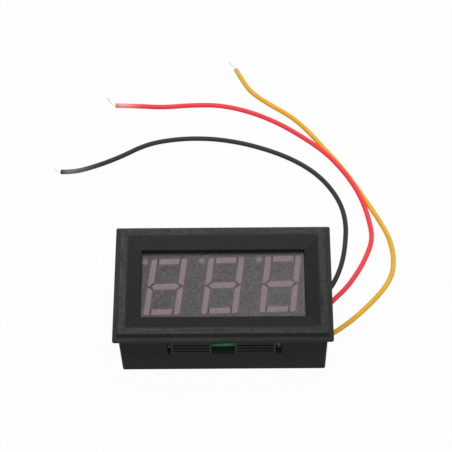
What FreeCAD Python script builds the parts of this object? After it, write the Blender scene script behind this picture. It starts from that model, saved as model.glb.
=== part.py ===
import FreeCAD, Part
import math
import os

# Three-digit panel voltmeter lying on its open back, face up, with three free hook-up wires.
# Millimetres. Origin at the middle of the case's rear rim, +X along the face to the reader's
# right, +Y to the top of the digits, +Z out of the face.

# Case moulding: flange with a raised, funnel-shaped frame round the window, and a box behind it.
FLANGE_LENGTH = 48.0
FLANGE_WIDTH = 29.0
FLANGE_THICKNESS = 2.0
FLANGE_CORNER = 0.45
FLANGE_SIDE = 0.6
FLANGE_RISE = 0.4
FLANGE_LEDGE = 0.75
RIM_INSET = 1.2
FRONT_LAND = 1.42
CASE_HEIGHT = 17.5
FUNNEL_DEPTH = 1.2
WINDOW_LENGTH = 36.2
WINDOW_WIDTH = 16.85
WINDOW_DEPTH = 2.3
BOX_LENGTH = 45.7
BOX_WIDTH = 26.1
BOX_DRAFT = 0.13
BOX_CORNER = 0.4
CASE_WALL = 1.3
CAVITY_CORNER = 0.4
EDGE_BREAK = 0.12

# Spring tongues that hold the case in its panel, two in one opening of each long wall.
TONGUE_OPENING_LENGTH = 25.2
TONGUE_OPENING_CENTRE = 0.25
TONGUE_OPENING_BASE = 7.4
TONGUE_OPENING_HEIGHT = 6.5
TONGUE_WIDTH = 8.9
TONGUE_SPACING = 14.1
TONGUE_THICKNESS = 1.15
TONGUE_TIP_GAP = 0.5
TONGUE_PROUD = 0.45
RIB_GROOVES = 3
GROOVE_FIRST = 1.4
GROOVE_PITCH = 1.5
GROOVE_MARGIN = 0.5
GROOVE_MOUTH = 0.7
GROOVE_FLOOR = 0.35
GROOVE_DEPTH = 0.5

# Hooks on the short walls that the board snaps over.
HOOK_WIDTH = 3.0
HOOK_OFFSET = 9.4
HOOK_REACH = 1.35
HOOK_HEIGHT = 2.2
HOOK_TIP = 0.35

# Notch in the rim of the right-hand wall, where the wires come out.
WIRE_NOTCH_WIDTH = 15.0
WIRE_NOTCH_CENTRE = -1.0
WIRE_NOTCH_HEIGHT = 3.0

# Display module: shell with light wells, resin bars and points, carrier, chips and pins.
DISPLAY_LENGTH = 37.6
DISPLAY_WIDTH = 19.0
DISPLAY_HEIGHT = 8.0
DISPLAY_SHELL_WALL = 0.8
CARRIER_THICKNESS = 1.0
DIGIT_PITCH = 12.7
DIGIT_HEIGHT = 14.2
DIGIT_WIDTH = 8.0
DIGIT_SLANT = 0.135
UPRIGHT_BAR_WIDTH = 1.3
END_BAR_HEIGHT = 1.45
MIDDLE_BAR_HEIGHT = 1.55
BAR_GAP = 0.42
BAR_CORNER = 0.55
BAR_CORNER_STEPS = 3
BAR_WAIST_FLAT = 0.45
POINT_DIAMETER = 1.4
POINT_LEFT = 4.55
POINT_UP = 6.4
LIGHT_CHIP_SIDE = 0.3
LIGHT_CHIP_HEIGHT = 0.2
FILM_THICKNESS = 0.12
FILM_CLEARANCE = 0.1
PINS_PER_ROW = 6
PIN_PITCH = 2.54
PIN_ROW_SPACING = 15.24
PIN_SIDE = 0.5
PIN_BELOW_BOARD = 1.3

# Circuit board and the parts soldered under it.
BOARD_LENGTH = 41.4
BOARD_WIDTH = 22.0
BOARD_THICKNESS = 1.2
BOARD_HOLE_DIAMETER = 0.9
BOARD_SKEW_DEG = 1.25
SOLDER_DIAMETER = 1.7
SOLDER_TIP_DIAMETER = 0.8
SOLDER_HEIGHT = 0.8
CHIP_CENTRE = (-1.5, 0.0)
CHIP_LENGTH = 6.5
CHIP_WIDTH = 4.4
CHIP_HEIGHT = 1.0
CHIP_STANDOFF = 0.1
CHIP_LEADS_PER_SIDE = 10
CHIP_LEAD_PITCH = 0.65
CHIP_LEAD_WIDTH = 0.22
CHIP_LEAD_THICKNESS = 0.15
CHIP_LEAD_SHOULDER = 0.35
CHIP_LEAD_FOOT = 0.6
REGULATOR_CENTRE = (-11.8, 3.6)
REGULATOR_LENGTH = 4.5
REGULATOR_WIDTH = 2.5
REGULATOR_HEIGHT = 1.5
REGULATOR_LEAD_PITCH = 1.5
REGULATOR_LEAD_WIDTH = 0.45
REGULATOR_LEAD_REACH = 0.9
REGULATOR_TAB_WIDTH = 1.7
DIODE_CENTRE = (-11.8, -4.0)
DIODE_LENGTH = 4.3
DIODE_WIDTH = 2.6
DIODE_HEIGHT = 1.9
DIODE_TAB_REACH = 0.6
DIODE_TAB_WIDTH = 1.5
SURFACE_LEAD_THICKNESS = 0.3
RESISTOR_LENGTH = 1.6
RESISTOR_WIDTH = 0.8
RESISTOR_HEIGHT = 0.45
BAR_RESISTORS = 8
BAR_RESISTOR_PITCH = 1.3
BAR_RESISTOR_START = (-6.05, 4.75)
DIVIDER_RESISTOR_LENGTH = 2.0
DIVIDER_RESISTOR_WIDTH = 1.25
DIVIDER_RESISTOR_HEIGHT = 0.5
DIVIDER_RESISTORS = 3
DIVIDER_RESISTOR_PITCH = 2.9
DIVIDER_RESISTOR_START = (-5.2, -4.75)
CAPACITOR_LENGTH = 3.2
CAPACITOR_WIDTH = 1.6
CAPACITOR_HEIGHT = 1.4
CAPACITOR_CENTRES = ((-17.3, 4.2), (-17.3, 0.4), (4.6, -4.9))

# Trimmer that sets the reading: a square base with a disc that turns in it.
TRIMMER_CENTRE = (8.4, 0.4)
TRIMMER_SIDE = 4.2
TRIMMER_HEIGHT = 1.9
TRIMMER_DISC_DIAMETER = 3.1
TRIMMER_DISC_HEIGHT = 0.9
TRIMMER_STEM_DIAMETER = 1.2
TRIMMER_STEM_LENGTH = 0.5
TRIMMER_SIDE_CLEARANCE = 0.05
TRIMMER_END_CLEARANCE = 0.06
TRIMMER_SLOT_WIDTH = 0.45
TRIMMER_SLOT_LENGTH = 2.2
TRIMMER_SLOT_DEPTH = 0.4
TRIMMER_TAB_WIDTH = 0.9
TRIMMER_TAB_REACH = 0.5

# Hook-up wires: insulated strands with their ends stripped and tinned.
WIRE_DIAMETER = 1.15
CONDUCTOR_DIAMETER = 0.36
WIRE_STRIPPED = 1.0
WIRE_FIRST_RUN = 1.3
WIRE_FLOOR_GAP = 0.025
RUN_SHARE = 0.45
STRAIGHT_TURN = 1e-6

# Levels and places that follow from the sizes above.
FLANGE_REAR = CASE_HEIGHT - FLANGE_THICKNESS
FACE_LEVEL = CASE_HEIGHT - WINDOW_DEPTH
CAVITY_LENGTH = BOX_LENGTH - 2 * (BOX_DRAFT + CASE_WALL)
CAVITY_WIDTH = BOX_WIDTH - 2 * (BOX_DRAFT + CASE_WALL)
BOARD_FRONT = FACE_LEVEL - DISPLAY_HEIGHT
BOARD_REAR = BOARD_FRONT - BOARD_THICKNESS
CARRIER_FRONT = BOARD_FRONT + CARRIER_THICKNESS
WIRE_START = BOARD_REAR - WIRE_STRIPPED
WIRE_DROP = WIRE_START - WIRE_FIRST_RUN
WIRE_REST = WIRE_DIAMETER / 2 + WIRE_FLOOR_GAP

# Each route starts under its soldered pad, comes down to the table and ends at the stripped
# tip; the points are chosen by hand to follow the curves that the wires lie in.
BLACK_ROUTE = (
    (14.0, -0.4, WIRE_START),
    (14.0, -0.4, WIRE_DROP),
    (14.8, -0.3, 2.2),
    (16.5, 0.2, 1.15),
    (19.0, 1.4, 0.65),
    (21.6, 3.9, WIRE_REST),
    (24.3, 6.9, WIRE_REST),
    (26.3, 10.6, WIRE_REST),
    (27.7, 14.9, WIRE_REST),
    (28.5, 19.8, WIRE_REST),
    (28.8, 25.2, WIRE_REST),
    (27.8, 30.4, WIRE_REST),
    (25.3, 35.3, WIRE_REST),
    (21.8, 39.5, WIRE_REST),
    (16.8, 43.2, WIRE_REST),
    (10.8, 46.1, WIRE_REST),
    (3.9, 48.4, WIRE_REST),
    (-3.6, 49.7, WIRE_REST),
    (-11.5, 49.6, WIRE_REST),
    (-18.9, 48.1, WIRE_REST),
    (-25.4, 44.2, WIRE_REST),
    (-31.9, 41.4, WIRE_REST),
    (-36.5, 40.1, WIRE_REST),
    (-39.4, 40.2, WIRE_REST),
)
RED_ROUTE = (
    (14.0, -2.9, WIRE_START),
    (14.0, -2.9, WIRE_DROP),
    (14.8, -2.9, 2.2),
    (16.5, -2.6, 1.15),
    (19.1, -1.8, 0.65),
    (21.9, 0.3, WIRE_REST),
    (24.7, 3.8, WIRE_REST),
    (28.1, 7.2, WIRE_REST),
    (30.9, 11.3, WIRE_REST),
    (33.2, 15.7, WIRE_REST),
    (34.9, 20.6, WIRE_REST),
    (34.3, 25.6, 0.8),
    (33.0, 30.5, 1.4),
    (31.0, 35.1, 1.7),
    (28.2, 39.7, 1.75),
    (24.5, 44.5, 1.75),
    (19.2, 49.3, 1.4),
    (13.2, 54.0, 0.85),
    (6.4, 57.6, WIRE_REST),
    (-1.1, 59.7, WIRE_REST),
    (-8.3, 59.7, WIRE_REST),
    (-15.2, 59.1, WIRE_REST),
    (-21.3, 59.6, WIRE_REST),
    (-26.8, 59.8, WIRE_REST),
)
YELLOW_ROUTE = (
    (14.0, -5.5, WIRE_START),
    (14.0, -5.5, WIRE_DROP),
    (14.8, -5.6, 2.2),
    (16.6, -5.9, 1.15),
    (19.3, -6.4, 0.65),
    (22.3, -5.9, WIRE_REST),
    (25.7, -3.8, WIRE_REST),
    (29.3, -1.0, WIRE_REST),
    (32.9, 2.5, WIRE_REST),
    (36.5, 6.5, WIRE_REST),
    (39.1, 10.9, WIRE_REST),
    (39.6, 15.9, WIRE_REST),
    (38.8, 21.0, WIRE_REST),
    (36.5, 26.1, WIRE_REST),
    (33.8, 31.2, WIRE_REST),
    (30.8, 36.8, WIRE_REST),
    (27.6, 42.0, WIRE_REST),
    (24.0, 46.8, WIRE_REST),
    (20.6, 51.6, WIRE_REST),
    (16.5, 56.1, WIRE_REST),
    (11.1, 59.8, WIRE_REST),
    (6.8, 63.4, WIRE_REST),
    (4.5, 67.3, WIRE_REST),
    (3.0, 70.6, WIRE_REST),
)
BLACK_TIP_BEND = (-40.0, 40.22, WIRE_REST)
BLACK_TIP_END = (-40.9, 41.2, WIRE_REST)
RED_TIP_BEND = (-27.7, 59.83, WIRE_REST)
RED_TIP_END = (-28.9, 62.3, WIRE_REST)
YELLOW_TIP_BEND = (2.55, 71.59, WIRE_REST)
YELLOW_TIP_END = (1.3, 73.0, WIRE_REST)

ROUTES = {"black": BLACK_ROUTE, "red": RED_ROUTE, "yellow": YELLOW_ROUTE}
TIPS = {
    "black": (BLACK_ROUTE[-1], BLACK_TIP_BEND, BLACK_TIP_END),
    "red": (RED_ROUTE[-1], RED_TIP_BEND, RED_TIP_END),
    "yellow": (YELLOW_ROUTE[-1], YELLOW_TIP_BEND, YELLOW_TIP_END),
}

Z_AXIS = FreeCAD.Vector(0, 0, 1)
OUTSIDE = 5.0


def block(low, high):
    size = [h - l for l, h in zip(low, high)]
    return Part.makeBox(*size, FreeCAD.Vector(*low))


def upright_block(centre, length, width, bottom, top):
    """A block centred on (x, y), from one level to another."""
    x, y = centre
    low = (x - length / 2, y - width / 2, bottom)
    high = (x + length / 2, y + width / 2, top)
    return block(low, high)


def rectangle(length, width, level, corner=0.0):
    """A closed wire round the Z axis, with rounded corners where a radius is given."""
    x, y = length / 2, width / 2
    vector = FreeCAD.Vector
    if corner <= 0:
        points = [(-x, -y), (x, -y), (x, y), (-x, y), (-x, -y)]
        return Part.makePolygon([vector(a, b, level) for a, b in points])
    near = corner * (1 - math.sqrt(0.5))
    arcs = []
    for sx, sy in ((1, -1), (1, 1), (-1, 1), (-1, -1)):
        ends = [
            vector(sx * (x - corner), sy * y, level),
            vector(sx * x, sy * (y - corner), level),
        ]
        if sx * sy > 0:
            ends.reverse()
        middle = vector(sx * (x - near), sy * (y - near), level)
        arcs.append(Part.Arc(ends[0], middle, ends[1]))
    edges = []
    for arc, following in zip(arcs, arcs[1:] + arcs[:1]):
        edges.append(arc.toShape())
        side = Part.LineSegment(arc.EndPoint, following.StartPoint)
        edges.append(side.toShape())
    return Part.Wire(edges)


def between(lower, upper):
    """A solid with straight sides from one closed wire to another."""
    return Part.makeLoft([lower, upper], True, True)


def polygon_prism(points, along):
    """Points in order, each (x, y, z), closed and pushed along a vector."""
    corners = [FreeCAD.Vector(*p) for p in points]
    outline = Part.makePolygon(corners + corners[:1])
    return Part.Face(outline).extrude(FreeCAD.Vector(*along))


def cylinder(centre, diameter, bottom, top):
    place = FreeCAD.Vector(centre[0], centre[1], bottom)
    return Part.makeCylinder(diameter / 2, top - bottom, place, Z_AXIS)


def cut_all(shape, tools):
    return shape.cut(Part.makeCompound(tools)) if tools else shape


def askew(shape):
    """Board and display sit slightly turned in the roomy case."""
    turned = shape.copy()
    turned.rotate(FreeCAD.Vector(0, 0, 0), Z_AXIS, BOARD_SKEW_DEG)
    return turned


def mirrored(shape, normal):
    return shape.mirror(FreeCAD.Vector(0, 0, 0), FreeCAD.Vector(*normal))


def save(name, *solids):
    shape = solids[0] if len(solids) == 1 else Part.makeCompound(solids)
    shape.exportStep(os.path.join("parts", name + ".step"))


def tongue(centre_x):
    """One ribbed tongue of the near long wall, rooted at the rear edge of its opening."""
    base = TONGUE_OPENING_BASE
    tip = base + TONGUE_OPENING_HEIGHT - TONGUE_TIP_GAP
    outer_root = BOX_WIDTH / 2 - BOX_DRAFT * (1 - base / FLANGE_REAR)
    lean = TONGUE_PROUD / (tip - base)

    def outer(level):
        return outer_root + lean * (level - base)

    body = (
        (outer(base) - TONGUE_THICKNESS, base),
        (outer(base), base),
        (outer(tip), tip),
        (outer(tip) - TONGUE_THICKNESS, tip),
    )
    left = centre_x - TONGUE_WIDTH / 2
    points = [(left, -out, level) for out, level in body]
    plain = polygon_prism(points, (TONGUE_WIDTH, 0, 0))

    grooves = []
    for number in range(RIB_GROOVES):
        middle = base + GROOVE_FIRST + number * GROOVE_PITCH
        low, high = middle - GROOVE_MOUTH / 2, middle + GROOVE_MOUTH / 2
        floor_low, floor_high = middle - GROOVE_FLOOR / 2, middle + GROOVE_FLOOR / 2
        outside = outer(tip)
        section = (
            (outside, low),
            (outer(low), low),
            (outer(floor_low) - GROOVE_DEPTH, floor_low),
            (outer(floor_high) - GROOVE_DEPTH, floor_high),
            (outer(high), high),
            (outside, high),
        )
        points = [(left + GROOVE_MARGIN, -out, level) for out, level in section]
        grooves.append(polygon_prism(points, (TONGUE_WIDTH - 2 * GROOVE_MARGIN, 0, 0)))
    return cut_all(plain, grooves)


def board_hook(y):
    """One hook of the right-hand short wall, its flat top under the board's edge."""
    wall = CAVITY_LENGTH / 2
    top = BOARD_REAR
    profile = (
        (wall, top),
        (wall - HOOK_REACH, top),
        (wall - HOOK_REACH, top - HOOK_TIP),
        (wall, top - HOOK_HEIGHT),
    )
    points = [(x, y - HOOK_WIDTH / 2, z) for x, z in profile]
    return polygon_prism(points, (0, HOOK_WIDTH, 0))


def stack(sections, corner=0.0):
    """A solid through rectangles given as (length, width, level), bottom to top."""
    wires = [rectangle(*section, corner) for section in sections]
    layers = [between(lower, upper) for lower, upper in zip(wires, wires[1:])]
    return layers[0].fuse(layers[1:]).removeSplitter()


def part_way(start, end, share):
    return tuple(a + (b - a) * share for a, b in zip(start, end))


def flange():
    """The flange: a low side, a gently sloping ledge and the steep rim of the raised frame."""
    shoulder = FLANGE_REAR + FLANGE_SIDE
    profile = (
        (0, FLANGE_REAR),
        (0, shoulder - EDGE_BREAK),
        (EDGE_BREAK, shoulder),
        (FLANGE_LEDGE, shoulder + FLANGE_RISE),
        (RIM_INSET - EDGE_BREAK / 2, CASE_HEIGHT - EDGE_BREAK),
        (RIM_INSET + EDGE_BREAK / 2, CASE_HEIGHT),
    )
    sections = [
        (FLANGE_LENGTH - 2 * inset, FLANGE_WIDTH - 2 * inset, level)
        for inset, level in profile
    ]
    return stack(sections, FLANGE_CORNER)


def funnel():
    """What is cut away in front of the display: a shallow funnel and the window."""
    inset = RIM_INSET + FRONT_LAND
    land = (FLANGE_LENGTH - 2 * inset, FLANGE_WIDTH - 2 * inset, CASE_HEIGHT)
    rim = (WINDOW_LENGTH, WINDOW_WIDTH, CASE_HEIGHT - FUNNEL_DEPTH)
    slope = math.hypot((land[0] - rim[0]) / 2, FUNNEL_DEPTH)
    share = EDGE_BREAK / slope
    spread = 2 * EDGE_BREAK
    return stack(
        (
            (WINDOW_LENGTH, WINDOW_WIDTH, FACE_LEVEL - OUTSIDE),
            (WINDOW_LENGTH, WINDOW_WIDTH, rim[2] - EDGE_BREAK),
            part_way(rim, land, share),
            part_way(land, rim, share),
            (land[0] + spread, land[1] + spread, CASE_HEIGHT),
        )
    )


def housing():
    box = stack(
        (
            (BOX_LENGTH - 2 * BOX_DRAFT, BOX_WIDTH - 2 * BOX_DRAFT, 0),
            (BOX_LENGTH, BOX_WIDTH, FLANGE_REAR),
        ),
        BOX_CORNER,
    )
    cavity = stack(
        (
            (CAVITY_LENGTH, CAVITY_WIDTH, -OUTSIDE),
            (CAVITY_LENGTH, CAVITY_WIDTH, FACE_LEVEL),
        ),
        CAVITY_CORNER,
    )
    opening = upright_block(
        (TONGUE_OPENING_CENTRE, 0),
        TONGUE_OPENING_LENGTH,
        BOX_WIDTH + 2 * OUTSIDE,
        TONGUE_OPENING_BASE,
        TONGUE_OPENING_BASE + TONGUE_OPENING_HEIGHT,
    )
    notch = block(
        (0, WIRE_NOTCH_CENTRE - WIRE_NOTCH_WIDTH / 2, -OUTSIDE),
        (BOX_LENGTH, WIRE_NOTCH_CENTRE + WIRE_NOTCH_WIDTH / 2, WIRE_NOTCH_HEIGHT),
    )
    case = box.fuse(flange()).cut(funnel()).cut(cavity).cut(opening).cut(notch)

    near = [tongue(side * TONGUE_SPACING / 2) for side in (-1, 1)]
    far = [mirrored(t, (0, 1, 0)) for t in near]
    right = [board_hook(side * HOOK_OFFSET) for side in (-1, 1)]
    left = [mirrored(h, (1, 0, 0)) for h in right]
    return case.fuse(near + far + right + left).removeSplitter()


def slanted(points, digit_x):
    """Upright digit coordinates, leaned over and set at their place on the face."""
    return [(digit_x + x + DIGIT_SLANT * y, y) for x, y in points]


def upright_bar(side, half):
    """The outline of an upright bar: side -1 is left, half -1 is the lower one."""
    outer, inner = DIGIT_WIDTH / 2, DIGIT_WIDTH / 2 - UPRIGHT_BAR_WIDTH
    top = DIGIT_HEIGHT / 2
    waist = BAR_GAP / 2
    shoulder = waist + MIDDLE_BAR_HEIGHT / 2
    points = [(outer, waist)]
    for step in range(BAR_CORNER_STEPS + 1):
        angle = math.pi / 2 * step / BAR_CORNER_STEPS
        x = outer - BAR_CORNER * (1 - math.cos(angle))
        points.append((x, top - BAR_CORNER * (1 - math.sin(angle))))
    points += [(inner, top), (inner, shoulder), (outer - BAR_WAIST_FLAT, waist)]
    return [(side * x, half * y) for x, y in points]


def end_bar(half):
    """The outline of the top bar, half 1, or the bottom one."""
    reach = DIGIT_WIDTH / 2 - UPRIGHT_BAR_WIDTH - BAR_GAP
    top = DIGIT_HEIGHT / 2
    low = top - END_BAR_HEIGHT
    points = [(-reach, low), (reach, low), (reach, top), (-reach, top)]
    return [(x, half * y) for x, y in points]


def middle_bar():
    reach = DIGIT_WIDTH / 2 - BAR_WAIST_FLAT - BAR_GAP
    shoulder = reach - MIDDLE_BAR_HEIGHT / 2
    high = MIDDLE_BAR_HEIGHT / 2
    right = [(shoulder, -high), (reach, 0), (shoulder, high)]
    left = [(-x, -y) for x, y in right]
    return right + left


def digit_outlines(digit_x):
    outlines = [upright_bar(side, half) for side in (-1, 1) for half in (-1, 1)]
    outlines += [end_bar(1), end_bar(-1), middle_bar()]
    return [slanted(outline, digit_x) for outline in outlines]


def light_well(outline):
    """The resin that fills one well of the display shell, from the face to the carrier."""
    points = [(x, y, CARRIER_FRONT) for x, y in outline]
    return polygon_prism(points, (0, 0, FACE_LEVEL - CARRIER_FRONT))


def middle_of(shape):
    centre = shape.CenterOfMass
    return (centre.x, centre.y)


def light_chip(well):
    top = CARRIER_FRONT + LIGHT_CHIP_HEIGHT
    return upright_block(
        middle_of(well), LIGHT_CHIP_SIDE, LIGHT_CHIP_SIDE, CARRIER_FRONT, top
    )


def pin_places():
    start = -PIN_PITCH * (PINS_PER_ROW - 1) / 2
    return [
        (start + number * PIN_PITCH, side * PIN_ROW_SPACING / 2)
        for side in (-1, 1)
        for number in range(PINS_PER_ROW)
    ]


def solder_joint(place, lead):
    """A cone under the board and the plug that fills the hole round the lead."""
    x, y = place
    cone = Part.makeCone(
        SOLDER_TIP_DIAMETER / 2,
        SOLDER_DIAMETER / 2,
        SOLDER_HEIGHT,
        FreeCAD.Vector(x, y, BOARD_REAR - SOLDER_HEIGHT),
        Z_AXIS,
    )
    plug = cylinder(place, BOARD_HOLE_DIAMETER, BOARD_REAR, BOARD_FRONT)
    return cone.fuse(plug).removeSplitter().cut(lead)


def display():
    digits = {
        "left": -DIGIT_PITCH,
        "middle": 0.0,
        "right": DIGIT_PITCH,
    }
    shell = upright_block(
        (0, 0), DISPLAY_LENGTH, DISPLAY_WIDTH, BOARD_FRONT, FACE_LEVEL
    )
    carrier_length = DISPLAY_LENGTH - 2 * DISPLAY_SHELL_WALL
    carrier_width = DISPLAY_WIDTH - 2 * DISPLAY_SHELL_WALL
    carrier = upright_block(
        (0, 0), carrier_length, carrier_width, BOARD_FRONT, CARRIER_FRONT
    )
    chips, wells = [], []
    for name, digit_x in digits.items():
        bars = [light_well(outline) for outline in digit_outlines(digit_x)]
        wells += bars
        bar_chips = [light_chip(bar) for bar in bars]
        chips += bar_chips
        filled = [bar.cut(chip) for bar, chip in zip(bars, bar_chips)]
        save("segments_" + name, *[askew(bar) for bar in filled])
    points = []
    for digit_x in digits.values():
        centre = (digit_x - POINT_LEFT, POINT_UP)
        point = cylinder(centre, POINT_DIAMETER, CARRIER_FRONT, FACE_LEVEL)
        chip = light_chip(point)
        wells.append(point)
        chips.append(chip)
        points.append(askew(point.cut(chip)))
    save("decimal_points", *points)
    save("light_chips", *[askew(chip) for chip in chips])
    save("display_shell", askew(cut_all(shell.cut(carrier), wells)))

    pin_end = BOARD_REAR - PIN_BELOW_BOARD
    places = pin_places()
    pins = [
        upright_block(place, PIN_SIDE, PIN_SIDE, pin_end, CARRIER_FRONT)
        for place in places
    ]
    save("display_pins", *[askew(pin) for pin in pins])
    save("display_carrier", askew(cut_all(carrier, pins)))
    joints = [solder_joint(place, pin) for place, pin in zip(places, pins)]
    save("pin_solder", *[askew(joint) for joint in joints])

    film = upright_block(
        (0, 0),
        WINDOW_LENGTH - 2 * FILM_CLEARANCE,
        WINDOW_WIDTH - 2 * FILM_CLEARANCE,
        FACE_LEVEL,
        FACE_LEVEL + FILM_THICKNESS,
    )
    save("display_film", film)


def pad_place(route):
    return (route[0][0], route[0][1])


def circuit_board():
    board = askew(
        upright_block((0, 0), BOARD_LENGTH, BOARD_WIDTH, BOARD_REAR, BOARD_FRONT)
    )
    holes = [
        askew(cylinder(place, BOARD_HOLE_DIAMETER, BOARD_REAR, BOARD_FRONT))
        for place in pin_places()
    ]
    holes += [
        cylinder(pad_place(route), BOARD_HOLE_DIAMETER, BOARD_REAR, BOARD_FRONT)
        for route in ROUTES.values()
    ]
    save("circuit_board", cut_all(board, holes))


def under_board(centre, length, width, height, gap=0.0):
    """A part that hangs from the board's rear face, which looks down here."""
    top = BOARD_REAR - gap
    return upright_block(centre, length, width, top - height, top)


def chip_lead(x, side):
    """A gull-wing lead: a shoulder out of the body, a leg and a foot on the board."""
    y = CHIP_CENTRE[1] + side * CHIP_WIDTH / 2
    thick = CHIP_LEAD_THICKNESS
    shoulder = BOARD_REAR - CHIP_STANDOFF - CHIP_HEIGHT / 2
    profile = (
        (0, shoulder),
        (CHIP_LEAD_SHOULDER, shoulder),
        (CHIP_LEAD_SHOULDER, BOARD_REAR - thick),
        (CHIP_LEAD_SHOULDER + CHIP_LEAD_FOOT, BOARD_REAR - thick),
        (CHIP_LEAD_SHOULDER + CHIP_LEAD_FOOT, BOARD_REAR),
        (CHIP_LEAD_SHOULDER - thick, BOARD_REAR),
        (CHIP_LEAD_SHOULDER - thick, shoulder + thick),
        (0, shoulder + thick),
    )
    left = x - CHIP_LEAD_WIDTH / 2
    points = [(left, y + side * out, level) for out, level in profile]
    return polygon_prism(points, (CHIP_LEAD_WIDTH, 0, 0))


def microcontroller():
    body = under_board(
        CHIP_CENTRE, CHIP_LENGTH, CHIP_WIDTH, CHIP_HEIGHT, CHIP_STANDOFF
    )
    start = CHIP_CENTRE[0] - CHIP_LEAD_PITCH * (CHIP_LEADS_PER_SIDE - 1) / 2
    leads = [
        chip_lead(start + number * CHIP_LEAD_PITCH, side)
        for side in (-1, 1)
        for number in range(CHIP_LEADS_PER_SIDE)
    ]
    save("microcontroller", askew(body))
    save("microcontroller_leads", *[askew(lead) for lead in leads])


def voltage_regulator():
    x, y = REGULATOR_CENTRE
    body = under_board(
        REGULATOR_CENTRE, REGULATOR_LENGTH, REGULATOR_WIDTH, REGULATOR_HEIGHT
    )
    reach = REGULATOR_LEAD_REACH
    edge = REGULATOR_WIDTH / 2 + reach / 2
    leads = [
        under_board(
            (x + number * REGULATOR_LEAD_PITCH, y - edge),
            REGULATOR_LEAD_WIDTH,
            reach,
            SURFACE_LEAD_THICKNESS,
        )
        for number in (-1, 0, 1)
    ]
    leads.append(
        under_board((x, y + edge), REGULATOR_TAB_WIDTH, reach, SURFACE_LEAD_THICKNESS)
    )
    save("voltage_regulator", askew(body))
    save("regulator_leads", *[askew(lead) for lead in leads])


def protection_diode():
    x, y = DIODE_CENTRE
    body = under_board(DIODE_CENTRE, DIODE_LENGTH, DIODE_WIDTH, DIODE_HEIGHT)
    offset = DIODE_LENGTH / 2 + DIODE_TAB_REACH / 2
    tabs = [
        under_board(
            (x + side * offset, y),
            DIODE_TAB_REACH,
            DIODE_TAB_WIDTH,
            SURFACE_LEAD_THICKNESS,
        )
        for side in (-1, 1)
    ]
    save("protection_diode", askew(body))
    save("diode_tabs", *[askew(tab) for tab in tabs])


def small_parts():
    x, y = BAR_RESISTOR_START
    bar_resistors = [
        under_board(
            (x + number * BAR_RESISTOR_PITCH, y),
            RESISTOR_WIDTH,
            RESISTOR_LENGTH,
            RESISTOR_HEIGHT,
        )
        for number in range(BAR_RESISTORS)
    ]
    save("segment_resistors", *[askew(part) for part in bar_resistors])

    x, y = DIVIDER_RESISTOR_START
    divider = [
        under_board(
            (x + number * DIVIDER_RESISTOR_PITCH, y),
            DIVIDER_RESISTOR_LENGTH,
            DIVIDER_RESISTOR_WIDTH,
            DIVIDER_RESISTOR_HEIGHT,
        )
        for number in range(DIVIDER_RESISTORS)
    ]
    save("divider_resistors", *[askew(part) for part in divider])

    capacitors = [
        under_board(centre, CAPACITOR_LENGTH, CAPACITOR_WIDTH, CAPACITOR_HEIGHT)
        for centre in CAPACITOR_CENTRES
    ]
    save("filter_capacitors", *[askew(part) for part in capacitors])


def trimmer():
    rear = BOARD_REAR - TRIMMER_HEIGHT
    seat = rear + TRIMMER_DISC_HEIGHT
    body = under_board(TRIMMER_CENTRE, TRIMMER_SIDE, TRIMMER_SIDE, TRIMMER_HEIGHT)
    wide = TRIMMER_DISC_DIAMETER + 2 * TRIMMER_SIDE_CLEARANCE
    narrow = TRIMMER_STEM_DIAMETER + 2 * TRIMMER_SIDE_CLEARANCE
    stem_end = seat + TRIMMER_STEM_LENGTH
    bore_end = stem_end + 2 * TRIMMER_END_CLEARANCE
    pocket = cylinder(TRIMMER_CENTRE, wide, rear, seat + TRIMMER_END_CLEARANCE)
    bore = cylinder(TRIMMER_CENTRE, narrow, rear, bore_end)
    save("trimmer_base", askew(body.cut(pocket).cut(bore)))

    disc = cylinder(TRIMMER_CENTRE, TRIMMER_DISC_DIAMETER, rear, seat)
    stem = cylinder(TRIMMER_CENTRE, TRIMMER_STEM_DIAMETER, rear, stem_end)
    slot_top = rear + TRIMMER_SLOT_DEPTH
    slots = [
        upright_block(TRIMMER_CENTRE, length, width, rear - OUTSIDE, slot_top)
        for length, width in (
            (TRIMMER_SLOT_LENGTH, TRIMMER_SLOT_WIDTH),
            (TRIMMER_SLOT_WIDTH, TRIMMER_SLOT_LENGTH),
        )
    ]
    rotor = disc.fuse(stem).removeSplitter()
    save("trimmer_rotor", askew(cut_all(rotor, slots)))

    x, y = TRIMMER_CENTRE
    offset = TRIMMER_SIDE / 2 + TRIMMER_TAB_REACH / 2
    side_shift = TRIMMER_SIDE / 2 - TRIMMER_TAB_WIDTH
    places = ((x - side_shift, y - offset), (x + side_shift, y - offset), (x, y + offset))
    tabs = [
        under_board(place, TRIMMER_TAB_WIDTH, TRIMMER_TAB_REACH, SURFACE_LEAD_THICKNESS)
        for place in places
    ]
    save("trimmer_tabs", *[askew(tab) for tab in tabs])


def run_path(points):
    """Straight runs joined by tangent arcs, with the arcs' radii."""
    spots = [FreeCAD.Vector(*p) for p in points]
    edges, radii = [], []
    last = spots[0]
    for before, corner, after in zip(spots, spots[1:], spots[2:]):
        back = before - corner
        ahead = after - corner
        turn = math.pi - back.getAngle(ahead)
        if turn < STRAIGHT_TURN:
            continue
        tangent = RUN_SHARE * min(back.Length, ahead.Length)
        radius = tangent / math.tan(turn / 2)
        start = corner + FreeCAD.Vector(back).normalize() * tangent
        end = corner + FreeCAD.Vector(ahead).normalize() * tangent
        inward = (start + end) * 0.5 - corner
        rise = radius / math.cos(turn / 2) - radius
        middle = corner + FreeCAD.Vector(inward).normalize() * rise
        edges.append(Part.LineSegment(last, start).toShape())
        edges.append(Part.Arc(start, middle, end).toShape())
        radii.append(radius)
        last = end
    edges.append(Part.LineSegment(last, spots[-1]).toShape())
    return Part.Wire(edges), radii


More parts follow.
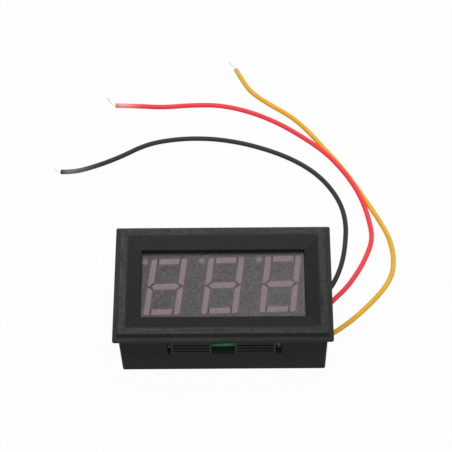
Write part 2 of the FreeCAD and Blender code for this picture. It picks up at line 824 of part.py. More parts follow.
def tube(name, points, diameter):
    path, radii = run_path(points)
    start = FreeCAD.Vector(*points[0])
    ahead = FreeCAD.Vector(*points[1]) - start
    profile = Part.Wire(Part.makeCircle(diameter / 2, start, ahead))
    solid = path.makePipeShell([profile], True, False)
    expected = math.pi * diameter**2 / 4 * path.Length
    print(
        name,
        "length %.2f" % path.Length,
        "smallest radius %.2f" % min(radii),
        "volume / expected %.5f" % (solid.Volume / expected),
    )
    print("  radii " + " ".join("%.1f" % r for r in radii))
    return solid


def wires():
    inner_ends, joints = [], []
    for colour, route in ROUTES.items():
        save(colour + "_wire", tube(colour + " wire", route, WIRE_DIAMETER))
        tip = tube(colour + " tip", TIPS[colour], CONDUCTOR_DIAMETER)
        save(colour + "_tip", tip)
        place = pad_place(route)
        lead = cylinder(place, CONDUCTOR_DIAMETER, route[0][2], BOARD_FRONT)
        inner_ends.append(lead)
        joints.append(solder_joint(place, lead))
    save("soldered_ends", *inner_ends)
    save("wire_solder", *joints)


os.makedirs("parts", exist_ok=True)
save("housing", housing())
display()
circuit_board()
microcontroller()
voltage_regulator()
protection_diode()
small_parts()
trimmer()
wires()
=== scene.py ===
"""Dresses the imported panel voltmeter: stage, wires, case, display, board and small parts."""

import math

import bmesh
import bpy
import numpy as np
from mathutils import Matrix, Vector


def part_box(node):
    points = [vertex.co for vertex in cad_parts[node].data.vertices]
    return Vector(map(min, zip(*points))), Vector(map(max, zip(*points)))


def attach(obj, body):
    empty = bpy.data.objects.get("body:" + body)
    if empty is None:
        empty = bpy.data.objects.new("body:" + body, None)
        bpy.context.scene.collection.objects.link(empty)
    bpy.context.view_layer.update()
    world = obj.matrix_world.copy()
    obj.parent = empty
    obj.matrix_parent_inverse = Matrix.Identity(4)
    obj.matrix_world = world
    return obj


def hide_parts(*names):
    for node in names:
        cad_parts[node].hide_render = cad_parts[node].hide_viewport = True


bl_info = {
    "name": "Panel Voltmeter",
    "version": (1, 0, 0),
    "blender": (4, 5, 0),
    "location": "3D View > Sidebar > Voltmeter",
    "description": "Finishes a packed three-digit panel voltmeter and lights it on a pale table",
    "category": "Object",
}

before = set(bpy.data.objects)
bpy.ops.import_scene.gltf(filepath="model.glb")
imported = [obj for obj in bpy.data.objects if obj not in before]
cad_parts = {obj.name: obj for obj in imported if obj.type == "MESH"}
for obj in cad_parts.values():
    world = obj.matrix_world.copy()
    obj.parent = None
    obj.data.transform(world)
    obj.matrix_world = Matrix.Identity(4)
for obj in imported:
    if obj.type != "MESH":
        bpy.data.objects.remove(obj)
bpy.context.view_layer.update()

MM = 0.001
CASE_BODY = "meter"
WHITE = (1.0, 1.0, 1.0)

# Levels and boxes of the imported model.
FACE_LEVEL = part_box("display_shell")[1].z
CASE_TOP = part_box("housing")[1].z
BOARD_REAR, BOARD_FRONT = (corner.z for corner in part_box("circuit_board"))
FILM_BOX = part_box("display_film")

# Half sizes in millimetres: the middle of the case's rear rim, inside which the table is dark,
# the outside of its long walls, the inner edge of the flange's ledge, and the window.
CASE_BASE = Vector((21.8, 12.0))
CASE_WALL = 12.9
LEDGE = Vector((23.2, 13.7))
WINDOW = Vector((18.1, 8.42))

# Along the window's far edge the display lies in shade. The funnel's mitres are not quite at
# 45 degrees: the pitch is how far they go in Y for each millimetre in X.
FAR_SHADE = (WINDOW.y - 1.1, WINDOW.y - 0.25)
MITRE_PITCH = 1.05

# Ribbed tongues of the long walls and the opening that they stand in, in millimetres.
TONGUE_MIDDLE = 7.05
TONGUE_HALF = 4.45
TONGUE_FACE = 13.0
TONGUE_ROOT = 7.4
TONGUE_TIP = 13.4
OPENING_HALF = 12.9
GROOVE_LEVELS = (8.8, 10.3, 11.8)
FLANGE_REAR = 15.5

# Board and display sit slightly turned in the case.
BOARD_SKEW = math.radians(1.25)
ASKEW = Matrix.Rotation(BOARD_SKEW, 3, "Z")

# Routes of the wires, from the soldered pad to the stripped tip.
BLACK_ROUTE = (
    (0.0140, -0.0004, 0.0050),
    (0.0140, -0.0004, 0.0037),
    (0.0148, -0.0003, 0.0022),
    (0.0165, 0.0002, 0.00115),
    (0.0190, 0.0014, 0.00065),
    (0.0216, 0.0039, 0.0006),
    (0.0243, 0.0069, 0.0006),
    (0.0263, 0.0106, 0.0006),
    (0.0277, 0.0149, 0.0006),
    (0.0285, 0.0198, 0.0006),
    (0.0288, 0.0252, 0.0006),
    (0.0278, 0.0304, 0.0006),
    (0.0253, 0.0353, 0.0006),
    (0.0218, 0.0395, 0.0006),
    (0.0168, 0.0432, 0.0006),
    (0.0108, 0.0461, 0.0006),
    (0.0039, 0.0484, 0.0006),
    (-0.0036, 0.0497, 0.0006),
    (-0.0115, 0.0496, 0.0006),
    (-0.0189, 0.0481, 0.0006),
    (-0.0254, 0.0442, 0.0006),
    (-0.0319, 0.0414, 0.0006),
    (-0.0365, 0.0401, 0.0006),
    (-0.0394, 0.0402, 0.0006),
)
RED_ROUTE = (
    (0.0140, -0.0029, 0.0050),
    (0.0140, -0.0029, 0.0037),
    (0.0148, -0.0029, 0.0022),
    (0.0165, -0.0026, 0.00115),
    (0.0191, -0.0018, 0.00065),
    (0.0219, 0.0003, 0.0006),
    (0.0247, 0.0038, 0.0006),
    (0.0281, 0.0072, 0.0006),
    (0.0309, 0.0113, 0.0006),
    (0.0332, 0.0157, 0.0006),
    (0.0349, 0.0206, 0.0006),
    (0.0343, 0.0256, 0.0008),
    (0.0330, 0.0305, 0.0014),
    (0.0310, 0.0351, 0.0017),
    (0.0282, 0.0397, 0.00175),
    (0.0245, 0.0445, 0.00175),
    (0.0192, 0.0493, 0.0014),
    (0.0132, 0.0540, 0.00085),
    (0.0064, 0.0576, 0.0006),
    (-0.0011, 0.0597, 0.0006),
    (-0.0083, 0.0597, 0.0006),
    (-0.0152, 0.0591, 0.0006),
    (-0.0213, 0.0596, 0.0006),
    (-0.0268, 0.0598, 0.0006),
)
YELLOW_ROUTE = (
    (0.0140, -0.0055, 0.0050),
    (0.0140, -0.0055, 0.0037),
    (0.0148, -0.0056, 0.0022),
    (0.0166, -0.0059, 0.00115),
    (0.0193, -0.0064, 0.00065),
    (0.0223, -0.0059, 0.0006),
    (0.0257, -0.0038, 0.0006),
    (0.0293, -0.0010, 0.0006),
    (0.0329, 0.0025, 0.0006),
    (0.0365, 0.0065, 0.0006),
    (0.0391, 0.0109, 0.0006),
    (0.0396, 0.0159, 0.0006),
    (0.0388, 0.0210, 0.0006),
    (0.0365, 0.0261, 0.0006),
    (0.0338, 0.0312, 0.0006),
    (0.0308, 0.0368, 0.0006),
    (0.0276, 0.0420, 0.0006),
    (0.0240, 0.0468, 0.0006),
    (0.0206, 0.0516, 0.0006),
    (0.0165, 0.0561, 0.0006),
    (0.0111, 0.0598, 0.0006),
    (0.0068, 0.0634, 0.0006),
    (0.0045, 0.0673, 0.0006),
    (0.0030, 0.0706, 0.0006),
)
ROUTES = {"black": BLACK_ROUTE, "red": RED_ROUTE, "yellow": YELLOW_ROUTE}
TIP_BENDS = {
    "black": (-0.0400, 0.04022, 0.0006),
    "red": (-0.0277, 0.05983, 0.0006),
    "yellow": (0.00255, 0.07159, 0.0006),
}
TIP_ENDS = {
    "black": (-0.0409, 0.0412, 0.0006),
    "red": (-0.0289, 0.0623, 0.0006),
    "yellow": (0.0013, 0.0730, 0.0006),
}

# Where stripping stretched the insulation it went pale. Distances from the stripped end, in
# millimetres: where that begins, where it is strongest and where it is gone.
STRETCHED = {"black": (0.2, 1.9, 10.5), "red": (0.0, 1.7, 7.2), "yellow": (0.0, 0.3, 2.0)}


# Settings that a user may change.


def length_setting(name, description, default):
    return bpy.props.FloatProperty(
        name=name, description=description, default=default, min=0.0, unit="LENGTH", precision=5
    )


def colour_setting(name, description, default):
    return bpy.props.FloatVectorProperty(
        name=name, description=description, default=default, subtype="COLOR", min=0.0, max=1.0
    )


def share_setting(name, description, default):
    return bpy.props.FloatProperty(
        name=name, description=description, default=default, min=0.0, max=1.0, subtype="FACTOR"
    )


class StudioSettings(bpy.types.PropertyGroup):
    lens: bpy.props.FloatProperty(
        name="Lens", description="Focal length on a 36 mm sensor", default=132.92, unit="CAMERA"
    )
    camera_place: bpy.props.FloatVectorProperty(
        name="Camera place",
        description="Where the camera stands",
        default=(0.004901, -0.183642, 0.335121),
        subtype="TRANSLATION",
        unit="LENGTH",
    )
    camera_turn: bpy.props.FloatVectorProperty(
        name="Camera turn",
        description="Camera rotation from looking straight down",
        default=(math.radians(31.884), math.radians(0.771), math.radians(-0.022)),
        subtype="EULER",
    )
    sky: bpy.props.FloatProperty(
        name="Sky", description="Strength of the light from all round", default=0.40, min=0.0
    )
    key: bpy.props.FloatProperty(
        name="Key lamp", description="Power of the large lamp", default=3.2, min=0.0, unit="POWER"
    )
    fill: bpy.props.FloatProperty(
        name="Fill lamp", description="Power of the small lamp", default=1.5, min=0.0, unit="POWER"
    )
    table_colour: colour_setting("Table", "Colour of the table top", (0.68, 0.67, 0.65))
    table_glow: share_setting("Table whiteness", "Share of plain white seen on the table", 0.955)


class WireSettings(bpy.types.PropertyGroup):
    diameter: length_setting("Diameter", "Outside diameter of the insulation", 1.15 * MM)
    strand: length_setting("Strand", "Diameter of one strand of the conductor", 0.12 * MM)
    black: colour_setting("Black", "Insulation of the ground wire", (0.020, 0.020, 0.018))
    red: colour_setting("Red", "Insulation of the supply wire", (0.90, 0.046, 0.064))
    yellow: colour_setting("Yellow", "Insulation of the sense wire", (0.76, 0.41, 0.022))
    pale_black: colour_setting("Stretched black", "Where it was stretched", (0.15, 0.152, 0.136))
    pale_red: colour_setting("Stretched red", "Where it was stretched", (0.87, 0.38, 0.385))
    pale_yellow: colour_setting("Stretched yellow", "Where it was stretched", (0.55, 0.43, 0.19))


class CaseSettings(bpy.types.PropertyGroup):
    plastic: colour_setting("Plastic", "Smooth part of the moulding", (0.0156, 0.0156, 0.0151))
    # Colour of the painted highlight along the top edges and the funnel's mitres.
    edge_highlight: colour_setting("Worn", "Edges and mitres that are rubbed", (0.09, 0.09, 0.088))
    land: colour_setting("Land", "Spark-grained flat of the frame", (0.042, 0.042, 0.0415))
    edge: length_setting("Edge", "Rounding of the moulding's edges", 0.09 * MM)
    grain: length_setting("Grain", "Size of the moulding's grain", 0.16 * MM)


class DisplaySettings(bpy.types.PropertyGroup):
    face: colour_setting("Face", "Front of the display module", (0.0495, 0.0402, 0.0458))
    bar: colour_setting("Bars", "Unlit resin of the bars", (0.212, 0.151, 0.176))
    bar_warm: colour_setting("Warm bars", "Bars that have yellowed", (0.224, 0.168, 0.162))
    point: colour_setting("Points", "Unlit resin of the decimal points", (0.150, 0.141, 0.145))
    rim: colour_setting("Bar rims", "Line round each bar", (0.046, 0.014, 0.027))
    rim_width: length_setting("Rim width", "Width of the line round each bar", 0.34 * MM)
    haze: colour_setting("Haze", "Milkiness of the protective film", (0.26, 0.26, 0.26))
    haze_share: share_setting("Haze share", "How milky the film is", 0.14)
    chip: colour_setting("Chips", "Light-emitting chips under the bars", (0.55, 0.48, 0.30))
    carrier: colour_setting("Carrier", "Board that carries the chips", (0.32, 0.27, 0.16))


class BoardSettings(bpy.types.PropertyGroup):
    mask: colour_setting("Solder mask", "Green of the board", (0.020, 0.190, 0.066))
    # The tracks' light green is partly painted light, so that the near edge's track looks lit in
    # the openings.
    track: colour_setting("Tracks", "Green over copper", (0.210, 0.720, 0.350))
    # Partly painted light: the pads are near white so that they look lit in the shaded slot.
    pad: colour_setting("Pads", "Test pads, with a little flux on them", (0.74, 1.0, 0.80))
    legend: colour_setting("Legend", "Printed outlines", (0.72, 0.72, 0.68))
    sealant: colour_setting("Sealant", "Dab that holds the board", (0.31, 0.37, 0.34))
    solder: colour_setting("Solder", "Solder and tinned metal", (0.72, 0.72, 0.70))


class PartSettings(bpy.types.PropertyGroup):
    epoxy: colour_setting("Epoxy", "Moulded chip bodies", (0.014, 0.014, 0.015))
    resistor: colour_setting("Resistors", "Glaze on the resistors", (0.010, 0.010, 0.012))
    capacitor: colour_setting("Capacitors", "Ceramic of the capacitors", (0.34, 0.20, 0.10))
    trimmer: colour_setting("Trimmer", "Base of the trimmer", (0.62, 0.62, 0.58))
    disc: colour_setting("Disc", "Turning disc of the trimmer", (0.66, 0.62, 0.54))
    edge: length_setting("Edge", "Rounding of the small parts", 0.06 * MM)


# Materials: arithmetic on a number socket adds the Math nodes for it.


class Amount:
    """A number that changes over a surface."""

    def __init__(self, finish, socket):
        self.finish = finish
        self.socket = socket

    def worked(self, operation, *inputs):
        """The outcome of one Math node."""
        settings = {"operation": operation}
        node = self.finish.add("ShaderNodeMath", settings, dict(enumerate(inputs)))
        return Amount(self.finish, node.outputs[0])

    def __add__(self, other):
        return self.worked("ADD", self, other)

    def __sub__(self, other):
        return self.worked("SUBTRACT", self, other)

    def __mul__(self, other):
        return self.worked("MULTIPLY", self, other)

    def __rsub__(self, other):
        return self.worked("SUBTRACT", other, self)

    def __abs__(self):
        return self.worked("ABSOLUTE", self)

    __radd__ = __add__
    __rmul__ = __mul__

    def larger(self, other):
        return self.worked("MAXIMUM", self, other)

    def ramp(self, start, end):
        """0 up to start, 1 from end on and smooth between. Start may be the larger one."""
        sockets = {"Value": self, "From Min": start, "From Max": end}
        settings = {"interpolation_type": "SMOOTHSTEP"}
        node = self.finish.add("ShaderNodeMapRange", settings, sockets)
        return Amount(self.finish, node.outputs[0])

    def plateau(self, start, full, still, gone):
        """1 from full to still, 0 outside start and gone, and smooth between."""
        return self.ramp(start, full) * self.ramp(gone, still)

    def spread(self, width):
        """Noise drawn out to the whole of 0 to 1, from a width on both sides of its middle."""
        return self.ramp(0.5 - width, 0.5 + width)


class Finish:
    """A material, or the world, in the making."""

    def __init__(self, owner):
        self.owner = owner
        self.owner.use_nodes = True
        self.tree = self.owner.node_tree
        self.tree.nodes.clear()
        self.spot = None

    def join(self, socket, value):
        """Links a socket to what changes over the surface, or sets it to a plain value."""
        if isinstance(value, Amount):
            value = value.socket
        if isinstance(value, bpy.types.NodeSocket):
            self.tree.links.new(value, socket)
        elif socket.type == "RGBA" and len(value) == 3:
            socket.default_value = (*value, 1.0)
        else:
            socket.default_value = value

    def add(self, kind, settings=None, sockets=None):
        """A node of one type, with its settings and with values or links on its sockets."""
        node = self.tree.nodes.new(kind)
        for key, value in (settings or {}).items():
            setattr(node, key, value)
        for key, value in (sockets or {}).items():
            self.join(node.inputs[key], value)
        return node

    def place(self):
        """Where a point is on the object, in millimetres."""
        if self.spot is None:
            metres = self.add("ShaderNodeTexCoord").outputs["Object"]
            sockets = {0: metres, "Scale": 1 / MM}
            node = self.add("ShaderNodeVectorMath", {"operation": "SCALE"}, sockets)
            self.spot = node.outputs[0]
        return self.spot

    def along(self, axis):
        """One coordinate of that place."""
        node = self.add("ShaderNodeSeparateXYZ", sockets={0: self.place()})
        return Amount(self, node.outputs[axis])

    def away_from(self, point):
        """Distance from a place on the object, in millimetres."""
        settings = {"operation": "DISTANCE"}
        node = self.add("ShaderNodeVectorMath", settings, {0: self.place(), 1: point})
        return Amount(self, node.outputs["Value"])

    def stretched(self, x, y, z):
        """That place with its axes scaled, so that a pattern on it is drawn out."""
        settings = {"operation": "MULTIPLY"}
        node = self.add("ShaderNodeVectorMath", settings, {0: self.place(), 1: (x, y, z)})
        return node.outputs[0]

    def noise(self, size, detail=2.0, place=None):
        """Soft blotches of about a size in millimetres, from 0 to 1 with a middle of 0.5."""
        sockets = {"Vector": place or self.place(), "Scale": 1 / size, "Detail": detail}
        node = self.add("ShaderNodeTexNoise", {"noise_dimensions": "3D"}, sockets)
        return Amount(self, node.outputs["Fac"])

    def cells(self, size):
        """Distance from the middle of scattered grains of a size in millimetres."""
        sockets = {"Vector": self.place(), "Scale": 1 / size}
        node = self.add("ShaderNodeTexVoronoi", {"feature": "F1"}, sockets)
        return Amount(self, node.outputs["Distance"])

    def blend(self, share, first, second):
        """A colour between two, by a share that changes over the surface."""
        sockets = {0: share, 6: first, 7: second}
        return self.add("ShaderNodeMix", {"data_type": "RGBA"}, sockets).outputs[2]

    def shade(self, colour, factor):
        """A colour made lighter or darker by a factor that changes over the surface."""
        grey = self.add("ShaderNodeCombineXYZ", sockets={0: factor, 1: factor, 2: factor})
        sockets = {0: 1.0, 6: colour, 7: grey.outputs[0]}
        settings = {"data_type": "RGBA", "blend_type": "MULTIPLY"}
        return self.add("ShaderNodeMix", settings, sockets).outputs[2]

    def bump(self, height, depth):
        """A normal for a height from 0 to 1 of a depth in millimetres."""
        sockets = {"Height": height, "Distance": depth * MM}
        return self.add("ShaderNodeBump", sockets=sockets).outputs["Normal"]

    def output(self, kind, shader):
        """The finished material or world, with a shader on its output."""
        self.add(kind, sockets={"Surface": shader.outputs[0]})
        return self.owner

    def surface(self, sockets):
        """The principled surface, joined to the output."""
        shader = self.add("ShaderNodeBsdfPrincipled", sockets=sockets)
        return self.output("ShaderNodeOutputMaterial", shader)


def new_finish(name):
    """A material in the making."""
    return Finish(bpy.data.materials.new(name))


def seen_white(finish):
    """1 where the camera sees a thing directly, mirrored or through something clear."""
    path = finish.add("ShaderNodeLightPath")
    seen = Amount(finish, path.outputs["Is Camera Ray"])
    for kind in ("Is Glossy Ray", "Is Transmission Ray"):
        seen = seen.larger(path.outputs[kind])
    return seen


# The case's finish, with its painted light and shade. Depths are millimetres below its top,
# the rest millimetres of the case.

LAND_DEPTHS = (0.045, 0.015)
# Depths of the painted highlight along the top edges.
HIGHLIGHT_DEPTHS = (0.15, 0.07)
LEDGE_DEPTHS = (1.45, 1.38, 0.98, 0.88)
MITRE_DEPTHS = (1.25, 1.0)
LEDGE_FADE = 0.15
WALL_FADE = 0.2
# Painted bounce light: the walls grow lighter from the first height down to the second.
WALL_BOUNCE_LIGHT = (9.0, 1.0)
# Painted sheen: the smooth plastic grows lighter from the first Y to the second, towards the far
# side.
FAR_SHEEN = (-10.0, 12.0)
# Painted shade: the grained flat grows darker towards the near right over these spans of X and Y.
LAND_SHADE_ACROSS = (-24.0, 24.0)
LAND_SHADE_ALONG = (20.0, -14.0)
STREAKS_TURN = (LEDGE.x - 2.6, LEDGE.x - 2.2)
STREAK = 0.12
MITRE_FADE = (0.30, 0.05)
SILL_FADE = (0.12, 0.04)
GROOVE_FADE = (0.36, 0.20)
# Painted light on the sill of each opening.
SILL_LIGHT_COLOUR = (0.027, 0.027, 0.027)
# Painted shade in the tongues' grooves.
GROOVE_SHADE_COLOUR = (0.003, 0.003, 0.003)
# Painted highlight on the tongues' side edges.
SIDE_EDGE_HIGHLIGHT_COLOUR = (0.12, 0.12, 0.118)


def tongue_shade_and_highlights(finish):
    """Shade in the grooves of the ribbed tongues and the light of their side edges."""
    outside = abs(finish.along("Y")).ramp(TONGUE_FACE - 0.9, TONGUE_FACE - 0.7)
    beside = abs(abs(finish.along("X")) - TONGUE_MIDDLE) - TONGUE_HALF
    height = finish.along("Z")
    upright = height.plateau(TONGUE_ROOT, TONGUE_ROOT + 0.3, TONGUE_TIP, TONGUE_TIP + 0.1)
    edge = beside.plateau(-0.30, -0.20, 0.0, 0.10) * upright * outside
    ribbed = beside.ramp(-0.40, -0.55) * outside
    groove_shade = 0.0
    for level in GROOVE_LEVELS:
        groove_shade = abs(height - level).ramp(*GROOVE_FADE) + groove_shade
    return groove_shade * ribbed, edge


def case_plastic(look):
    """Moulded styrene: smooth dark slopes, lighter spark-grained flats, faint flow marks, and
    painted light and shade.
    """
    finish = new_finish("case_plastic")
    x, y, height = finish.along("X"), finish.along("Y"), finish.along("Z")
    across, along, depth = abs(x), abs(y), CASE_TOP / MM - height
    land = depth.ramp(*LAND_DEPTHS)
    outer = (across - LEDGE.x).larger(along - LEDGE.y).ramp(-LEDGE_FADE, 0.0)
    ledge = depth.plateau(*LEDGE_DEPTHS) * outer
    # Walls below the flange: they get painted shade in the colour and more roughness.
    wall = height.ramp(FLANGE_REAR, FLANGE_REAR - WALL_FADE)
    grain = finish.noise(look.grain / MM, 3.0)
    blotch = finish.noise(1.1, 3.0)
    cloud = finish.noise(7.0)
    flow = finish.noise(0.9, place=finish.stretched(STREAK, 1.0, 1.0))
    flow_along = finish.noise(0.9, place=finish.stretched(1.0, STREAK, 1.0))
    streaks = flow + (flow_along - flow) * across.ramp(*STREAKS_TURN)
    patches = (blotch + streaks) * 0.5
    land_tone = 0.18 + 0.60 * patches.spread(0.18) + 0.44 * grain.spread(0.20) + 0.60 * cloud
    # Painted shade: the grained flat is darker towards the near right.
    land_shade = x.ramp(*LAND_SHADE_ACROSS) * y.ramp(*LAND_SHADE_ALONG)
    smooth_tone = 0.70 + 0.30 * flow + 0.30 * grain
    # Painted light on the smooth plastic: a painted sheen that grows towards the far side, painted
    # shade on the walls below the flange and painted bounce light towards the foot of the walls.
    lighter = 0.24 * y.ramp(*FAR_SHEEN) - 0.60 * wall + 0.30 * height.ramp(*WALL_BOUNCE_LIGHT)
    plain = finish.shade(look.plastic, smooth_tone * (0.96 + lighter))
    grained_flat = finish.shade(look.land, land_tone * (1.05 - 0.27 * land_shade))
    colour = finish.blend(land.larger(ledge * 0.62), plain, grained_flat)
    # Painted highlight along the edges just below the top.
    highlighted = depth.ramp(*HIGHLIGHT_DEPTHS) * (1 - land)
    colour = finish.blend(highlighted * 0.22 * grain, colour, look.edge_highlight)
    # Painted highlight along the funnel's mitres.
    corner = (across - WINDOW.x) * MITRE_PITCH - (along - WINDOW.y)
    mitre = abs(corner).ramp(*MITRE_FADE) * depth.ramp(*MITRE_DEPTHS) * (1 - outer)
    colour = finish.blend(mitre * (1 - land) * 0.12, colour, look.edge_highlight)
    # Painted light on the sill at the foot of each opening.
    sill_light = across.ramp(OPENING_HALF + 0.1, OPENING_HALF) * along.ramp(CASE_WALL, CASE_WALL - 0.1)
    sill_light = sill_light * abs(height - TONGUE_ROOT).ramp(*SILL_FADE)
    colour = finish.blend(sill_light, colour, SILL_LIGHT_COLOUR)
    # Painted shade in the tongues' grooves and painted highlights along their side edges.
    groove_shade, edge = tongue_shade_and_highlights(finish)
    colour = finish.blend(groove_shade * 0.80, colour, GROOVE_SHADE_COLOUR)
    colour = finish.blend(edge * 0.30 * grain, colour, SIDE_EDGE_HIGHLIGHT_COLOUR)
    relief = grain * (0.35 + 0.65 * land) + 0.25 * finish.cells(look.grain / MM * 2)
    return finish.surface(
        {
            "Base Color": colour,
            "Roughness": 0.46 + 0.10 * land + 0.10 * blotch + 0.13 * wall,
            "Specular IOR Level": 0.075,
            "Normal": finish.bump(relief, 0.012),
        }
    )


def face_plastic(look):
    """The display module's grey front, faintly mottled, with painted shade along the window's far
    edge.
    """
    finish = new_finish("display_face")
    mottle = finish.noise(0.55, 3.0)
    tone = 0.44 + 0.88 * mottle.spread(0.17) + 0.25 * finish.noise(3.5)
    # Painted shade along the window's far edge.
    far_edge_shade = finish.along("Y").ramp(*FAR_SHADE)
    return finish.surface(
        {
            "Base Color": finish.shade(look.face, tone * (1 - 0.75 * far_edge_shade)),
            "Roughness": 0.55 + 0.15 * mottle,
            "Specular IOR Level": 0.16,
            "Normal": finish.bump(mottle, 0.01),
        }
    )


def resin(name, colour, warm):
    """Milky resin of the bars and points: some stretches have yellowed, with fine speckle."""
    finish = new_finish(name)
    patches = finish.noise(5.0, 1.0).ramp(0.50, 0.66)
    speckle = finish.noise(0.28, 3.0)
    tinted = finish.blend(patches, colour, warm)
    return finish.surface(
        {
            "Base Color": finish.shade(tinted, 0.78 + 0.44 * speckle.spread(0.20)),
            "Roughness": 0.42 + 0.12 * speckle,
            "Specular IOR Level": 0.28,
            "Subsurface Weight": 0.15,
            "Subsurface Radius": (0.9, 0.5, 0.5),
            "Subsurface Scale": 0.4 * MM,
            "Normal": finish.bump(speckle, 0.006),
        }
    )


def bar_rim(look):
    """The darker line where resin meets the shell."""
    finish = new_finish("bar_rims")
    uneven = finish.noise(0.5)
    return finish.surface(
        {
            "Base Color": finish.shade(look.rim, 0.6 + 0.8 * uneven),
            "Roughness": 0.55 + 0.1 * uneven,
        }
    )


# Width of the painted highlight along the film's right and near cut edges, in millimetres.
BORDER_WIDTH = 0.5


def film_plastic(look):
    """The clear cover film: a fine milky grain, a painted highlight along its right and near cut
    edges and painted shade at its far edge.
    """
    finish = new_finish("display_film")
    x, y = finish.along("X"), finish.along("Y")
    low, high = (corner / MM for corner in FILM_BOX)
    speckle = finish.noise(0.50, 4.0)
    # Painted highlight along the right and near cut edges.
    right = (high.x - x).ramp(BORDER_WIDTH, BORDER_WIDTH - 0.08)
    near = (y - low.y).ramp(BORDER_WIDTH - 0.04, BORDER_WIDTH - 0.12)
    haze = 0.20 + 0.46 * speckle.spread(0.14) + 0.45 * finish.noise(1.6)
    haze = haze + 0.30 * x.ramp(low.x, high.x)
    # Painted shade along the window's far edge.
    haze = haze * (1 - 0.8 * y.ramp(*FAR_SHADE))
    alpha = look.haze_share * haze + 0.09 * right.larger(near)
    return finish.surface(
        {
            "Base Color": finish.shade(look.haze, 0.85 + 0.3 * speckle),
            "Roughness": 0.30 + 0.2 * speckle,
            "Specular IOR Level": 0.25,
            "Alpha": alpha,
            "Normal": finish.bump(speckle, 0.0012),
        }
    )


def insulation(name, colour, pale, end, stretch):
    """Soft vinyl with faint drawing marks, gone pale where stripping stretched it."""
    finish = new_finish(name)
    start, full, gone = stretch
    away = finish.away_from(tuple(Vector(end) / MM))
    stretched = away.ramp(start, full) * away.ramp(gone, 1.0)
    marks = finish.noise(0.7, 3.0)
    tone = 0.88 + 0.12 * marks + 0.12 * finish.noise(2.6)
    return finish.surface(
        {
            "Base Color": finish.shade(finish.blend(stretched, colour, pale), tone),
            "Roughness": 0.42 + 0.14 * marks,
            "Specular IOR Level": 0.24,
            "Normal": finish.bump(marks, 0.008),
        }
    )


def metal(name, colour, roughness, grain):
    """Tinned metal or solder, a little uneven in tone and gloss."""
    finish = new_finish(name)
    ripple = finish.noise(grain, 3.0)
    return finish.surface(
        {
            "Base Color": finish.shade(colour, 0.75 + 0.45 * ripple),
            "Metallic": 1.0,
            "Roughness": roughness + 0.25 * ripple,
            "Normal": finish.bump(ripple, 0.01),
        }
    )


WEAVE_SCALE = 0.55


def solder_mask(name, colour):
    """Glossy green lacquer over glass cloth, whose weave just shows."""
    finish = new_finish(name)
    weave = 1.0
    for direction in ("X", "Y"):
        settings = {"wave_type": "BANDS", "bands_direction": direction}
        sockets = {"Vector": finish.place(), "Scale": WEAVE_SCALE, "Distortion": 0.6}
        threads = finish.add("ShaderNodeTexWave", settings, sockets)
        weave = Amount(finish, threads.outputs["Fac"]) * weave
    cloud = finish.noise(2.2)
    tone = 0.78 + 0.16 * weave + 0.28 * cloud
    return finish.surface(
        {
            "Base Color": finish.shade(colour, tone),
            "Roughness": 0.24 + 0.14 * cloud,
            "Coat Weight": 0.35,
            "Coat Roughness": 0.15,
            "Normal": finish.bump(weave, 0.006),
        }
    )


def legend_ink(look):
    """Matt white ink, printed a little unevenly."""
    finish = new_finish("legend_ink")
    patchy = finish.noise(0.25, 3.0)
    return finish.surface(
        {
            "Base Color": finish.shade(look.legend, 0.7 + 0.45 * patchy),
            "Roughness": 0.6 + 0.15 * patchy,
        }
    )


def grained(name, colour, size, depth, roughness, contrast=0.4):
    """Matt moulded or fired material with an even grain. Size and depth are in millimetres."""
    finish = new_finish(name)
    grain = finish.noise(size, 3.0)
    tone = 1 - contrast + contrast * (grain + finish.noise(size * 6))
    return finish.surface(
        {
            "Base Color": finish.shade(colour, tone),
            "Roughness": roughness + 0.15 * grain,
            "Normal": finish.bump(grain, depth),
        }
    )


def table_surface(look):
    """The table: white to the eye, with the object's shadow, and plain matt for other light."""
    finish = new_finish("table")
    beyond = (abs(finish.along("X")) - CASE_BASE.x).larger(abs(finish.along("Y")) - CASE_BASE.y)
    seen = seen_white(finish) * beyond.ramp(-0.1, 0.1) * look.table_glow
    colour = finish.shade(look.table_colour, 0.99 + 0.02 * finish.noise(60.0))
    matt = finish.add("ShaderNodeBsdfDiffuse", sockets={"Color": colour})
    white = finish.add("ShaderNodeEmission", sockets={"Color": WHITE, "Strength": 1.0})
    sockets = {0: seen, 1: matt.outputs[0], 2: white.outputs[0]}
    mixed = finish.add("ShaderNodeMixShader", sockets=sockets)
    return finish.output("ShaderNodeOutputMaterial", mixed)


# Making and dressing meshes.


def wear(piece, *materials):
    """Puts materials on a piece in place of any that it has."""
    piece.data.materials.clear()
    for material in materials:
        piece.data.materials.append(material)


def linked(name, data):
    """An object in the scene for a mesh, curve, lamp or camera."""
    piece = bpy.data.objects.new(name, data)
    bpy.context.scene.collection.objects.link(piece)
    return piece


def meshed(name, form, material):
    """An object of a mesh in the making."""
    mesh = bpy.data.meshes.new(name)
    form.to_mesh(mesh)
    form.free()
    piece = linked(name, mesh)
    wear(piece, material)
    return piece


def placed(name, form, material):
    """An object of a mesh in the making, riding on the case's body."""
    bmesh.ops.recalc_face_normals(form, faces=form.faces)
    piece = meshed(name, form, material)
    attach(piece, CASE_BODY)
    return piece


def smooth(piece, angle=35.0):
    """Smooth shading, with edges sharper than an angle kept."""
    piece.data.shade_smooth()
    piece.data.set_sharp_from_angle(angle=math.radians(angle))


SOFTENED_ANGLE = math.radians(24.0)
WELD_DISTANCE = 0.001 * MM
SAME_CORNER = 0.0001 * MM


def soften(piece, width, segments=2):
    """Rounds a piece's sharp edges."""
    weld = piece.modifiers.new("join", "WELD")
    weld.merge_threshold = WELD_DISTANCE
    bevel = piece.modifiers.new("edges", "BEVEL")
    bevel.width = width
    bevel.segments = segments
    bevel.limit_method = "ANGLE"
    bevel.angle_limit = SOFTENED_ANGLE
    bevel.harden_normals = True
    bevel.use_clamp_overlap = True


